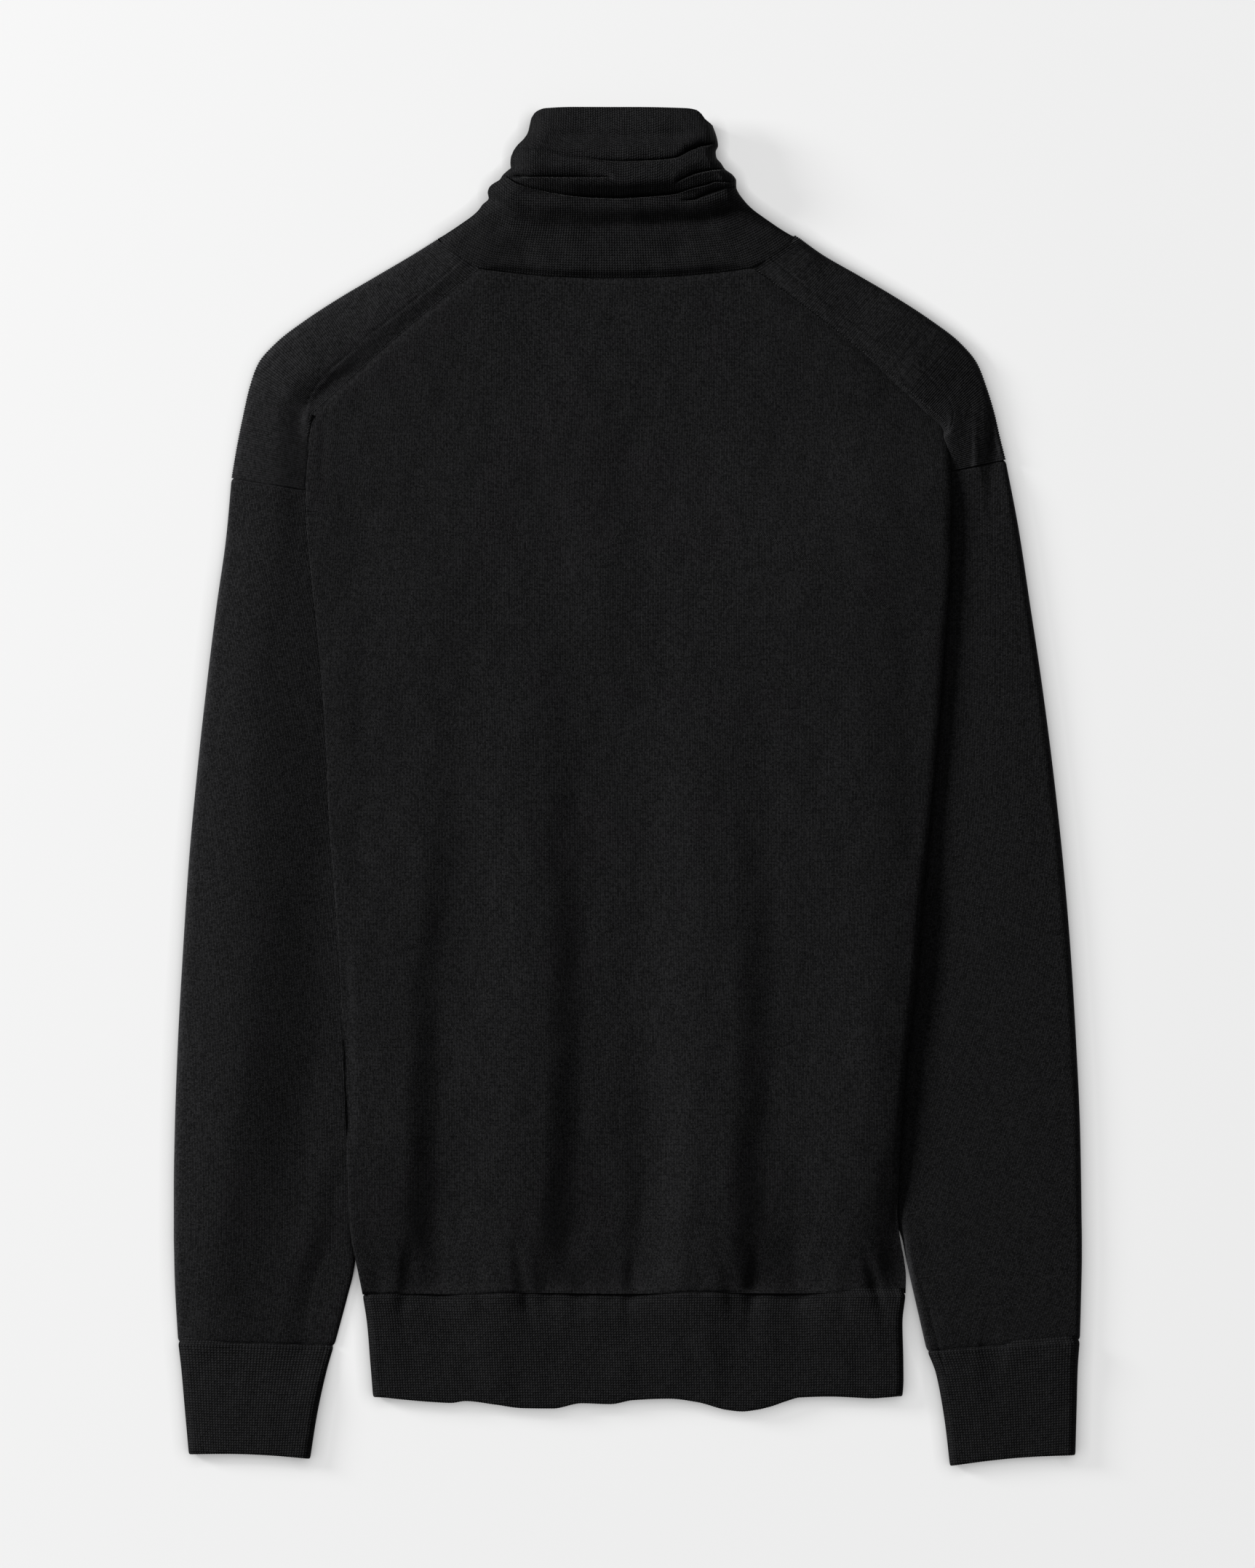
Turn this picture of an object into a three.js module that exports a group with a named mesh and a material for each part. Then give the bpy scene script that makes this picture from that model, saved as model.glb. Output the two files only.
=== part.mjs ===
import * as THREE from 'three';

// Turtleneck sweater in fine black knit, laid face down on a flat surface with its back showing.
// Millimetres. +X runs to the right, +Y towards the collar, +Z up from the surface at z = 0.
// Every piece is a wall of knit with an outer and an inner surface, open where the garment is open.

// Driving dimensions
const JERSEY = 2.0;
const RIB = 2.3;
const SEAM = 0.4;
const BODY_RISE = 7.8;
const SLEEVE_RISE = 7.4;
const CUFF_RISE = 7.6;
const LIFT = 8.4;
const ROLL = 5.0;
const HEM_SEAM_Y = -296.5;
const HEM_END_Y = -359.0;
const TUCK_SLOPE = 26.0;

// Side folds of the body from the hem seam to the armhole seam. The lift columns say how far
// the body is raised by the sleeve beneath it, from 0 on the surface to 1 on the sleeve.
const BODY_SIDES = [
  { y: -296.5, left: -155.2, right: 162.6, liftLeft: 0, liftRight: 0 },
  { y: -287, left: -157.2, right: 162.8, liftLeft: 0, liftRight: 0 },
  { y: -276, left: -159.6, right: 161.4, liftLeft: 0.12, liftRight: 0.12 },
  { y: -265, left: -162.0, right: 159.2, liftLeft: 0.45, liftRight: 0.45 },
  { y: -252, left: -163.2, right: 157.6, liftLeft: 0.9, liftRight: 0.9 },
  { y: -235, left: -164.0, right: 158.2, liftLeft: 1, liftRight: 1 },
  { y: -205, left: -165.0, right: 160.2, liftLeft: 1, liftRight: 1 },
  { y: -165, left: -166.2, right: 163.5, liftLeft: 1, liftRight: 1 },
  { y: -120, left: -168.4, right: 168.8, liftLeft: 1, liftRight: 1 },
  { y: -75, left: -171.3, right: 172.3, liftLeft: 1, liftRight: 1 },
  { y: -25, left: -175.0, right: 176.8, liftLeft: 1, liftRight: 1 },
  { y: 32, left: -177.6, right: 181.9, liftLeft: 1, liftRight: 1 },
  { y: 85, left: -181.9, right: 185.7, liftLeft: 1, liftRight: 1 },
  { y: 130, left: -186.2, right: 188.6, liftLeft: 1, liftRight: 1 },
  { y: 165, left: -188.6, right: 189.1, liftLeft: 1, liftRight: 1 },
  { y: 192, left: -187.6, right: 188.8, liftLeft: 1, liftRight: 1 },
  { y: 204, left: -186.6, right: 187.2, liftLeft: 0.5, liftRight: 0.45 },
  { y: 217, left: -185.0, right: 184.6, liftLeft: 0, liftRight: 0 },
];

// Where the outline of both body panels turns at the top: armhole corners and neck points.
const TOP = {
  leftCorner: { x: -185.0, y: 217.2 },
  leftNeck: { x: -86.9, y: 302.5 },
  rightNeck: { x: 72.8, y: 302.9 },
  rightCorner: { x: 184.6, y: 213.5 },
};
const NECK_CENTRE_X = -7;
const NECK_BACK_DROP = 5.8;
const NECK_FRONT_DROP = 47;

// Saddle shoulders from the collar to the sleeve: the folded shoulder edge and the seam to the body.
const SADDLE_LEFT = [
  { outerX: -112.0, outerY: 319.6, innerX: -86.9, innerY: 302.5 },
  { outerX: -125.7, outerY: 311.0, innerX: -105.0, innerY: 286.76 },
  { outerX: -147.4, outerY: 298.2, innerX: -127.0, innerY: 267.63 },
  { outerX: -169.1, outerY: 285.4, innerX: -147.0, innerY: 250.24 },
  { outerX: -188.7, outerY: 272.6, innerX: -163.0, innerY: 236.33 },
  { outerX: -205.3, outerY: 259.9, innerX: -174.0, innerY: 226.76 },
  { outerX: -216.4, outerY: 247.1, innerX: -181.0, innerY: 220.68 },
  { outerX: -221.4, outerY: 233.4, innerX: -185.3, innerY: 216.4 },
  { outerX: -225.6, outerY: 215.0, innerX: -187.2, innerY: 203.0 },
  { outerX: -229.0, outerY: 198.0, innerX: -188.4, innerY: 188.5 },
  { outerX: -232.0, outerY: 180.2, innerX: -189.2, innerY: 173.31 },
];
const SADDLE_RIGHT = [
  { outerX: 100.6, outerY: 320.4, innerX: 72.8, innerY: 302.9 },
  { outerX: 113.7, outerY: 311.0, innerX: 92.0, innerY: 287.55 },
  { outerX: 135.9, outerY: 298.2, innerX: 113.0, innerY: 270.75 },
  { outerX: 157.6, outerY: 285.4, innerX: 134.0, innerY: 253.96 },
  { outerX: 177.2, outerY: 272.6, innerX: 152.0, innerY: 239.57 },
  { outerX: 193.8, outerY: 259.9, innerX: 167.0, innerY: 227.57 },
  { outerX: 204.5, outerY: 247.1, innerX: 178.0, innerY: 218.78 },
  { outerX: 209.9, outerY: 233.4, innerX: 184.9, innerY: 212.6 },
  { outerX: 214.6, outerY: 218.0, innerX: 187.5, innerY: 203.0 },
  { outerX: 217.8, outerY: 204.0, innerX: 189.0, innerY: 193.4 },
  { outerX: 221.1, outerY: 190.9, innerX: 189.6, innerY: 184.3 },
];

// Sleeves from the saddle seam to the cuff. y is taken on the outer edge, and drop says how
// much lower the inner edge is. The inner edge lies under the body down to y = -265.
const SLEEVE_LEFT = [
  { y: 179.8, outer: -232.0, inner: -124.0, drop: 17.4 },
  { y: 145, outer: -235.2, inner: -122.6, drop: 9.0 },
  { y: 105, outer: -240.8, inner: -122.0, drop: 3.0 },
  { y: 60, outer: -246.4, inner: -122.6, drop: 0 },
  { y: 10, outer: -251.9, inner: -124.2, drop: 0 },
  { y: -45, outer: -257.0, inner: -127.6, drop: 0 },
  { y: -100, outer: -260.6, inner: -132.4, drop: 0 },
  { y: -150, outer: -263.4, inner: -138.6, drop: 0 },
  { y: -200, outer: -265.2, inner: -147.0, drop: 0 },
  { y: -235, outer: -265.8, inner: -154.6, drop: 0 },
  { y: -252, outer: -265.8, inner: -160.4, drop: 0 },
  { y: -265, outer: -265.8, inner: -163.2, drop: 0 },
  { y: -276, outer: -265.6, inner: -160.6, drop: 0 },
  { y: -296, outer: -265.0, inner: -163.2, drop: 0.6 },
  { y: -325.4, outer: -263.3, inner: -171.8, drop: 2.4 },
];
const SLEEVE_RIGHT = [
  { y: 190.5, outer: 221.1, inner: 114.0, drop: 22.4 },
  { y: 150, outer: 228.4, inner: 112.6, drop: 10.0 },
  { y: 105, outer: 235.2, inner: 112.0, drop: 3.0 },
  { y: 60, outer: 241.8, inner: 112.2, drop: 0 },
  { y: 10, outer: 248.2, inner: 113.6, drop: 0 },
  { y: -45, outer: 254.2, inner: 117.4, drop: 0 },
  { y: -100, outer: 258.8, inner: 123.6, drop: 0 },
  { y: -150, outer: 261.8, inner: 131.6, drop: 0 },
  { y: -200, outer: 264.2, inner: 143.0, drop: 0 },
  { y: -235, outer: 265.0, inner: 150.8, drop: 0 },
  { y: -252, outer: 265.6, inner: 155.0, drop: 0 },
  { y: -265, outer: 265.8, inner: 160.4, drop: 0 },
  { y: -276, outer: 265.8, inner: 162.6, drop: 0 },
  { y: -296, outer: 265.4, inner: 167.2, drop: 1.0 },
  { y: -324.4, outer: 264.6, inner: 175.0, drop: 6.6 },
];

// Ribbed cuffs from the sleeve to the open end.
const CUFF_LEFT = [
  { y: -325.8, outer: -263.2, inner: -172.2, drop: 2.4 },
  { y: -341, outer: -261.4, inner: -176.4, drop: 1.8 },
  { y: -366, outer: -259.2, inner: -181.9, drop: 2.2 },
  { y: -390.6, outer: -256.9, inner: -186.0, drop: 2.6 },
];
const CUFF_RIGHT = [
  { y: -324.8, outer: 264.5, inner: 175.4, drop: 6.6 },
  { y: -341, outer: 263.3, inner: 180.6, drop: 4.0 },
  { y: -366, outer: 262.4, inner: 185.2, drop: 4.0 },
  { y: -390.4, outer: 261.2, inner: 188.6, drop: 6.6 },
];

// Ribbed hem band below the body.
const HEM_SIDES = [
  { y: -296.9, left: -155.2, right: 162.6 },
  { y: -315, left: -152.5, right: 160.7 },
  { y: -337, left: -150.8, right: 160.4 },
  { y: HEM_END_Y, left: -149.1, right: 158.6 },
];
const HEM_SCALLOPS = [
  { x: -53, width: 27, drop: 5.6 },
  { x: 67, width: 25, drop: 6.5 },
];

// Collar sides and its open rim.
const COLLAR_SIDES = [
  { y: 319.8, left: -111.4, right: 100.2 },
  { y: 325.9, left: -101.8, right: 89.5 },
  { y: 334.4, left: -89.5, right: 77.1 },
  { y: 342.9, left: -82.4, right: 67.7 },
  { y: 348.5, left: -81.6, right: 64.4 },
  { y: 355.7, left: -74.1, right: 62.6 },
  { y: 364.2, left: -68.6, right: 55.4 },
  { y: 372.8, left: -64.3, right: 52.6 },
  { y: 386.0, left: -57.6, right: 49.8 },
];
const COLLAR_RIM = [
  { x: -57.6, y: 386.0 },
  { x: -54.8, y: 391.8 },
  { x: -49.0, y: 395.6 },
  { x: -30.0, y: 397.0 },
  { x: 0.0, y: 397.0 },
  { x: 34.0, y: 395.8 },
  { x: 44.7, y: 390.2 },
  { x: 49.8, y: 386.0 },
];

// Height of the scrunched collar along its length, from 0 at the seam to 1 at the rim.
const COLLAR_HEIGHTS = [
  { along: 0, height: 7.8 },
  { along: 0.09, height: 11.4 },
  { along: 0.2, height: 16.2 },
  { along: 0.29, height: 18.6 },
  { along: 0.36, height: 18.2 },
  { along: 0.43, height: 23.4 },
  { along: 0.49, height: 24.0 },
  { along: 0.55, height: 25.2 },
  { along: 0.605, height: 24.0 },
  { along: 0.66, height: 25.0 },
  { along: 0.715, height: 23.6 },
  { along: 0.77, height: 24.0 },
  { along: 0.85, height: 23.4 },
  { along: 0.93, height: 21.6 },
  { along: 1, height: 18.6 },
];

// Creases across the collar, each from a left x to a right x, deepest between full and fade.
const COLLAR_CREASES = [
  { along: 0.49, half: 0.03, from: -74, to: 64, depth: 6.0 },
  { along: 0.605, half: 0.025, from: -70, to: -12, depth: 4.0 },
  { along: 0.605, half: 0.025, from: 24, to: 58, depth: 3.4 },
  { along: 0.715, half: 0.025, from: -66, to: 52, depth: 3.6 },
  { along: 0.85, half: 0.05, from: -40, to: 40, depth: 1.6 },
];

// Soft troughs that run down the back and into the hem band.
const BODY_FOLDS = [
  {
    half: 13,
    path: [
      { y: 150, x: -113, depth: 0 },
      { y: 32, x: -109.5, depth: 1.6 },
      { y: -86, x: -114.6, depth: 1.8 },
      { y: -199, x: -119.7, depth: 2.0 },
      { y: -291, x: -130.4, depth: 2.6 },
      { y: -362, x: -131, depth: 0.8 },
    ],
  },
  {
    half: 12,
    path: [
      { y: 130, x: -42, depth: 0 },
      { y: 14, x: -38.8, depth: 1.2 },
      { y: -111, x: -35.4, depth: 1.8 },
      { y: -234, x: -40.5, depth: 2.4 },
      { y: -291, x: -51.1, depth: 3.0 },
      { y: -362, x: -53, depth: 2.2 },
    ],
  },
  {
    half: 11,
    path: [
      { y: -150, x: 5.5, depth: 0 },
      { y: -234, x: 4, depth: 1.2 },
      { y: -291, x: 2, depth: 1.6 },
      { y: -362, x: 2, depth: 0.3 },
    ],
  },
  {
    half: 12,
    path: [
      { y: 120, x: 72, depth: 0 },
      { y: -15, x: 76.3, depth: 1.8 },
      { y: -111, x: 78, depth: 2.4 },
      { y: -234, x: 70.7, depth: 3.0 },
      { y: -291, x: 72.4, depth: 3.0 },
      { y: -362, x: 67, depth: 2.4 },
    ],
  },
];

// Soft troughs along the sleeves.
const SLEEVE_FOLDS = [
  {
    half: 13,
    path: [
      { y: 190, x: -206.6, depth: 1.2 },
      { y: 103, x: -202.8, depth: 1.8 },
      { y: -23, x: -199.4, depth: 2.2 },
      { y: -146, x: -202.8, depth: 2.4 },
      { y: -217, x: -215.1, depth: 2.4 },
      { y: -270, x: -224.1, depth: 2.0 },
      { y: -323, x: -238.1, depth: 1.4 },
    ],
  },
  {
    half: 10,
    path: [
      { y: -215, x: -172, depth: 0 },
      { y: -288, x: -187, depth: 1.8 },
      { y: -323, x: -197.7, depth: 1.6 },
    ],
  },
  {
    half: 12,
    path: [
      { y: 40, x: 208, depth: 0 },
      { y: -100, x: 212, depth: 1.4 },
      { y: -270, x: 205, depth: 1.8 },
      { y: -323, x: 204, depth: 1.8 },
    ],
  },
];

// Steps of a rolled edge, as degrees of the turn, and shares of the width between anchors.
const TURN = [0, 32, 60, 90];
const COLLAR_TURN = [0, 24, 46, 68, 90];

const mix = (a, b, t) => a + (b - a) * t;
const clamp01 = (t) => Math.min(1, Math.max(0, t));
const ease = (t) => {
  const s = clamp01(t);
  return s * s * (3 - 2 * s);
};
const radians = (degrees) => (degrees * Math.PI) / 180;

// Reads a column of a table at a value of its key column, in straight steps.
function read(table, key, value, column) {
  const rising = table[table.length - 1][key] > table[0][key];
  const rows = rising ? table : [...table].reverse();
  if (value <= rows[0][key]) {
    return rows[0][column];
  }
  for (let i = 1; i < rows.length; i += 1) {
    if (value <= rows[i][key]) {
      const t = (value - rows[i - 1][key]) / (rows[i][key] - rows[i - 1][key]);
      return mix(rows[i - 1][column], rows[i][column], t);
    }
  }
  return rows[rows.length - 1][column];
}

// Depth of a set of soft troughs at a point.
function troughs(folds, x, y) {
  let depth = 0;
  for (const fold of folds) {
    const top = fold.path[0].y;
    if (y > top && fold.path[0].depth === 0) {
      continue;
    }
    const across = (x - read(fold.path, 'y', y, 'x')) / fold.half;
    depth += read(fold.path, 'y', y, 'depth') * Math.exp(-across * across);
  }
  return depth;
}

// Height of the underside of the body, which rises over the sleeves tucked beneath it.
function bodyLift(x, y) {
  const leftSleeve = read(SLEEVE_LEFT, 'y', y, 'inner') + 1.5;
  const rightSleeve = read(SLEEVE_RIGHT, 'y', y, 'inner') - 1.5;
  const left = read(BODY_SIDES, 'y', y, 'liftLeft') * (1 - ease((x - leftSleeve) / TUCK_SLOPE));
  const right = read(BODY_SIDES, 'y', y, 'liftRight') * (1 - ease((rightSleeve - x) / TUCK_SLOPE));
  return LIFT * Math.max(left, right);
}

function bodyTop(x, y) {
  return bodyLift(x, y) + BODY_RISE - troughs(BODY_FOLDS, x, y);
}

// Share of the full height that a rolled edge has reached at a distance from it.
function rollShare(distance, width) {
  const left = 1 - clamp01(distance / width);
  return Math.sqrt(1 - left * left);
}

// Closed solid between an outer and an inner grid of points with the same rows and columns.
function wall(outer, inner, around) {
  const rows = outer.length;
  const columns = outer[0].length;
  const position = [];
  for (const grid of [outer, inner]) {
    for (const row of grid) {
      for (const point of row) {
        position.push(point.x, point.y, point.z);
      }
    }
  }
  const index = [];
  const vertex = (layer, i, j) => layer * rows * columns + i * columns + (j % columns);
  const quad = (a, b, c, d) => index.push(a, b, c, a, c, d);
  const strips = around ? columns : columns - 1;
  for (let i = 0; i < rows - 1; i += 1) {
    for (let j = 0; j < strips; j += 1) {
      quad(vertex(0, i, j), vertex(0, i, j + 1), vertex(0, i + 1, j + 1), vertex(0, i + 1, j));
      quad(vertex(1, i, j), vertex(1, i + 1, j), vertex(1, i + 1, j + 1), vertex(1, i, j + 1));
    }
  }
  for (let j = 0; j < strips; j += 1) {
    const last = rows - 1;
    quad(vertex(0, 0, j), vertex(1, 0, j), vertex(1, 0, j + 1), vertex(0, 0, j + 1));
    quad(vertex(0, last, j), vertex(0, last, j + 1), vertex(1, last, j + 1), vertex(1, last, j));
  }
  if (!around) {
    for (let i = 0; i < rows - 1; i += 1) {
      const last = columns - 1;
      quad(vertex(0, i, 0), vertex(0, i + 1, 0), vertex(1, i + 1, 0), vertex(1, i, 0));
      quad(vertex(0, i, last), vertex(1, i, last), vertex(1, i + 1, last), vertex(0, i + 1, last));
    }
  }
  const geometry = new THREE.BufferGeometry();
  geometry.setAttribute('position', new THREE.Float32BufferAttribute(position, 3));
  geometry.setIndex(outwards(position, index));
  geometry.computeVertexNormals();
  return geometry;
}

// Turns every face over if the solid's volume comes out negative.
function outwards(position, index) {
  const corner = (i) => new THREE.Vector3().fromArray(position, index[i] * 3);
  let volume = 0;
  for (let i = 0; i < index.length; i += 3) {
    volume += corner(i).dot(corner(i + 1).cross(corner(i + 2)));
  }
  if (volume > 0) {
    return index;
  }
  const turned = [];
  for (let i = 0; i < index.length; i += 3) {
    turned.push(index[i], index[i + 2], index[i + 1]);
  }
  return turned;
}

// Points between anchors: counts[i] equal steps from anchors[i] to anchors[i + 1].
function spread(anchors, counts) {
  const values = [];
  counts.forEach((count, i) => {
    for (let k = 1; k <= count; k += 1) {
      values.push(mix(anchors[i], anchors[i + 1], k / count));
    }
  });
  return values;
}

// Columns across a folded piece: rolled steps at both edges and plain ones between.
// Each column gives x and the share of the height reached there.
function columnsAcross(left, right, inset, turn, between) {
  const width = ROLL - inset;
  const rolled = turn.map((degrees) => ({
    away: width * (1 - Math.cos(radians(degrees))),
    share: Math.sin(radians(degrees)),
  }));
  const leftEdge = rolled.map((step) => ({ x: left + inset + step.away, share: step.share }));
  const rightEdge = rolled.map((step) => ({ x: right - inset - step.away, share: step.share }));
  const middle = between.slice(0, -1).map((x) => ({ x, share: 1 }));
  return [...leftEdge, ...middle, ...rightEdge.reverse()];
}

// Outline of the body panels at the top: shoulder seams and the neck seam between them.
function topOutline(x, neckDrop) {
  const { leftCorner, leftNeck, rightNeck, rightCorner } = TOP;
  if (x <= leftNeck.x) {
    return mix(leftCorner.y, leftNeck.y, (x - leftCorner.x) / (leftNeck.x - leftCorner.x));
  }
  if (x >= rightNeck.x) {
    return mix(rightNeck.y, rightCorner.y, (x - rightNeck.x) / (rightCorner.x - rightNeck.x));
  }
  return neckSeam(x, neckDrop);
}

function neckSeam(x, drop) {
  const { leftNeck, rightNeck } = TOP;
  const level = mix(leftNeck.y, rightNeck.y, (x - leftNeck.x) / (rightNeck.x - leftNeck.x));
  const reach = x < NECK_CENTRE_X ? NECK_CENTRE_X - leftNeck.x : rightNeck.x - NECK_CENTRE_X;
  const away = Math.abs(x - NECK_CENTRE_X) / reach;
  return level - drop * (1 - away ** 2.2);
}

// One body panel, upper (the back) or lower (the front). Both stop at the side folds.
function bodyPanel({ upper, counts, sideRows, neckDrop }) {
  const grids = [0, JERSEY].map((inset) =>
    sideRows.map((v) => {
      const yLeft = mix(HEM_SEAM_Y, TOP.leftCorner.y, v);
      const yRight = mix(HEM_SEAM_Y, TOP.rightCorner.y, v);
      const left = read(BODY_SIDES, 'y', yLeft, 'left');
      const right = read(BODY_SIDES, 'y', yRight, 'right');
      const sleeveLeft = Math.max(read(SLEEVE_LEFT, 'y', yLeft, 'inner') + 1.5, left + ROLL + 6);
      const sleeveRight = Math.min(read(SLEEVE_RIGHT, 'y', yRight, 'inner') - 1.5, right - ROLL - 6);
      const anchors = [
        left + ROLL,
        sleeveLeft,
        sleeveLeft + TUCK_SLOPE,
        TOP.leftNeck.x,
        TOP.rightNeck.x,
        sleeveRight - TUCK_SLOPE,
        sleeveRight,
        right - ROLL,
      ];
      const across = columnsAcross(left, right, inset, TURN, spread(anchors, counts));
      return across.map(({ x, share }) => {
        const y = mix(HEM_SEAM_Y, topOutline(x, neckDrop), v);
        const low = bodyLift(x, y);
        const high = bodyTop(x, y);
        const middle = low + BODY_RISE / 2;
        const z = upper
          ? mix(middle + SEAM / 2, high - inset, share)
          : mix(middle - SEAM / 2, low + inset, share);
        return new THREE.Vector3(x, y, z);
      });
    }),
  );
  return wall(grids[0], grids[1], false);
}

// Strap of knit folded over the shoulder edge, open along the seams to the body.
function saddle(table) {
  const flatSteps = [1, 0.66, 0.33];
  const grids = [0, JERSEY].map((inset) =>
    table.map((row, i) => {
      const outer = new THREE.Vector2(row.outerX, row.outerY);
      const seam = new THREE.Vector2(row.innerX, row.innerY);
      const span = outer.distanceTo(seam);
      const inwards = seam.clone().sub(outer).divideScalar(span);
      const reach = span - 1.5 * SEAM;
      const top = mix(BODY_RISE, SLEEVE_RISE, i / (table.length - 1));
      const middle = top / 2;
      const flat = flatSteps.map((share) => ({ away: mix(ROLL, reach, share), share: 1 }));
      const rolled = TURN.slice()
        .reverse()
        .map((degrees) => ({
          away: inset + (ROLL - inset) * (1 - Math.cos(radians(degrees))),
          share: Math.sin(radians(degrees)),
        }));
      const upper = [...flat, ...rolled];
      const lower = [...upper].reverse().slice(1);
      const place = ({ away, share }, target) =>
        new THREE.Vector3(
          outer.x + inwards.x * away,
          outer.y + inwards.y * away,
          mix(middle, target, share),
        );
      return [
        ...upper.map((step) => place(step, top - inset)),
        ...lower.map((step) => place(step, inset)),
      ];
    }),
  );
  return wall(grids[0], grids[1], false);
}

// Flattened tube: one closed ring for each row of the table.
function tube({ rows, thickness, steps, heightAt, yUpper, yLower }) {
  const grids = [0, thickness].map((inset) =>
    rows.map((row) => {
      const anchors = [row.left + ROLL, row.right - ROLL];
      const across = columnsAcross(row.left, row.right, inset, TURN, spread(anchors, [steps]));
      const upper = across.map(({ x, share }) => {
        const high = heightAt(x, row.y);
        return new THREE.Vector3(x, yUpper(x, row), mix(row.rise / 2, high - inset, share));
      });
      const lower = across.map(
        ({ x, share }) => new THREE.Vector3(x, yLower(x, row), mix(row.rise / 2, inset, share)),
      );
      return [...upper, ...lower.reverse().slice(1, -1)];
    }),
  );
  return wall(grids[0], grids[1], true);
}

// Sleeve or cuff, whose rows may slope from the outer edge to the inner one.
function limb(table, thickness, rise, steps) {
  const rows = table.map((row) => ({
    ...row,
    rise,
    left: Math.min(row.outer, row.inner),
    right: Math.max(row.outer, row.inner),
  }));
  const slope = (x, row) => row.y - row.drop * Math.abs((x - row.outer) / (row.inner - row.outer));
  const heightAt = (x, y) => rise - troughs(SLEEVE_FOLDS, x, y);
  return tube({ rows, thickness, steps, heightAt, yUpper: slope, yLower: slope });
}

function hemBand() {
  const rows = HEM_SIDES.map((row) => ({ ...row, rise: BODY_RISE }));
  const sag = (x) =>
    HEM_SCALLOPS.reduce((sum, s) => sum + s.drop * Math.exp(-(((x - s.x) / s.width) ** 2)), 0);
  const down = (row) => clamp01((HEM_SIDES[0].y - row.y) / (HEM_SIDES[0].y - HEM_END_Y)) ** 2;
  return tube({
    rows,
    thickness: RIB,
    steps: 24,
    heightAt: (x, y) => BODY_RISE + 0.2 - troughs(BODY_FOLDS, x, y),
    yUpper: (x, row) => row.y - sag(x) * down(row),
    yLower: (x, row) => row.y - 0.5 * sag(x) * down(row),
  });
}

// Scrunched ribbed collar: a tube from the neck seam to the open rim. The seam dips further at
// the front, which is underneath, than at the back.
function collar() {
  const neckSteps = 12;
  const { leftNeck, rightNeck } = TOP;
  const baseLeft = COLLAR_SIDES[0].left;
  const baseRight = COLLAR_SIDES[0].right;
  const sideY = COLLAR_SIDES[0].y;
  const rimSideY = COLLAR_RIM[0].y;
  const grids = [0, RIB].map((inset) =>
    COLLAR_HEIGHTS.map(({ along, height }) => {
      const y = mix(sideY, rimSideY, along);
      const left = read(COLLAR_SIDES, 'y', y, 'left');
      const right = read(COLLAR_SIDES, 'y', y, 'right');
      const leftReach = mix(leftNeck.x - baseLeft, 20, ease(along * 2));
      const rightReach = mix(baseRight - rightNeck.x, 20, ease(along * 2));
      const turnWidth = mix(ROLL, 17, ease(along * 3));
      const stations = collarStations(left, right, leftReach, rightReach, neckSteps, inset);
      const point = (station, isUpper) => {
        const share = rollShare(station.away - inset, turnWidth - inset);
        const level = crease(station.x, along, height);
        const target = isUpper ? level - inset : inset;
        const startY = collarSeam(station, isUpper ? NECK_BACK_DROP : NECK_FRONT_DROP);
        const endY = read(COLLAR_RIM, 'x', station.x, 'y');
        return new THREE.Vector3(station.x, mix(startY, endY, along), mix(height / 2, target, share));
      };
      const upper = stations.map((station) => point(station, true));
      const lower = stations.map((station) => point(station, false));
      return [...upper, ...lower.reverse().slice(1, -1)];
    }),
  );
  return wall(grids[0], grids[1], true);
}

// Columns across the collar, each with its distance from the nearer side and its place on the
// neck seam, which is the same for every ring.
function collarStations(left, right, leftReach, rightReach, neckSteps, inset) {
  const turned = COLLAR_TURN.map((degrees) => 1 - Math.cos(radians(degrees)));
  const start = turned.map((t) => ({
    x: mix(left + inset, left + leftReach, t),
    away: mix(inset, leftReach, t),
    seam: { side: 'left', t },
  }));
  const end = turned.map((t) => ({
    x: mix(right - inset, right - rightReach, t),
    away: mix(inset, rightReach, t),
    seam: { side: 'right', t },
  }));
  const middle = [];
  for (let k = 1; k < neckSteps; k += 1) {
    const t = k / neckSteps;
    const x = mix(left + leftReach, right - rightReach, t);
    middle.push({ x, away: Math.min(x - left, right - x), seam: { side: 'middle', t } });
  }
  return [...start, ...middle, ...end.reverse()];
}

// The y of the neck seam below a column of the collar.
function collarSeam({ seam }, drop) {
  const { leftNeck, rightNeck } = TOP;
  const side = COLLAR_SIDES[0];
  const clearance = 1.5 * SEAM;
  if (seam.side === 'left') {
    return mix(side.y, leftNeck.y, seam.t) + clearance;
  }
  if (seam.side === 'right') {
    return mix(side.y, rightNeck.y, seam.t) + clearance;
  }
  return neckSeam(mix(leftNeck.x, rightNeck.x, seam.t), drop) + clearance;
}

// Height of the collar's upper side, cut down by the creases across it.
function crease(x, along, height) {
  let depth = 0;
  for (const fold of COLLAR_CREASES) {
    const lengthwise = (along - fold.along) / fold.half;
    const inFrom = ease((x - fold.from) / 14);
    const outTo = ease((fold.to - x) / 14);
    depth += fold.depth * Math.exp(-lengthwise * lengthwise) * inFrom * outTo;
  }
  return height - depth;
}

// Rows of the body as shares of the way from the hem seam to the armhole corner.
function bodyRows() {
  const start = BODY_SIDES[0].y;
  const end = BODY_SIDES[BODY_SIDES.length - 1].y;
  return BODY_SIDES.map((row) => (row.y - start) / (end - start));
}

const jersey = () => new THREE.MeshStandardMaterial({ color: 0x151517, roughness: 0.95, metalness: 0 });
const rib = () => new THREE.MeshStandardMaterial({ color: 0x131315, roughness: 0.95, metalness: 0 });

const group = new THREE.Group();

function add(name, geometry, material) {
  const mesh = new THREE.Mesh(geometry, material);
  mesh.name = name;
  group.add(mesh);
}

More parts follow.
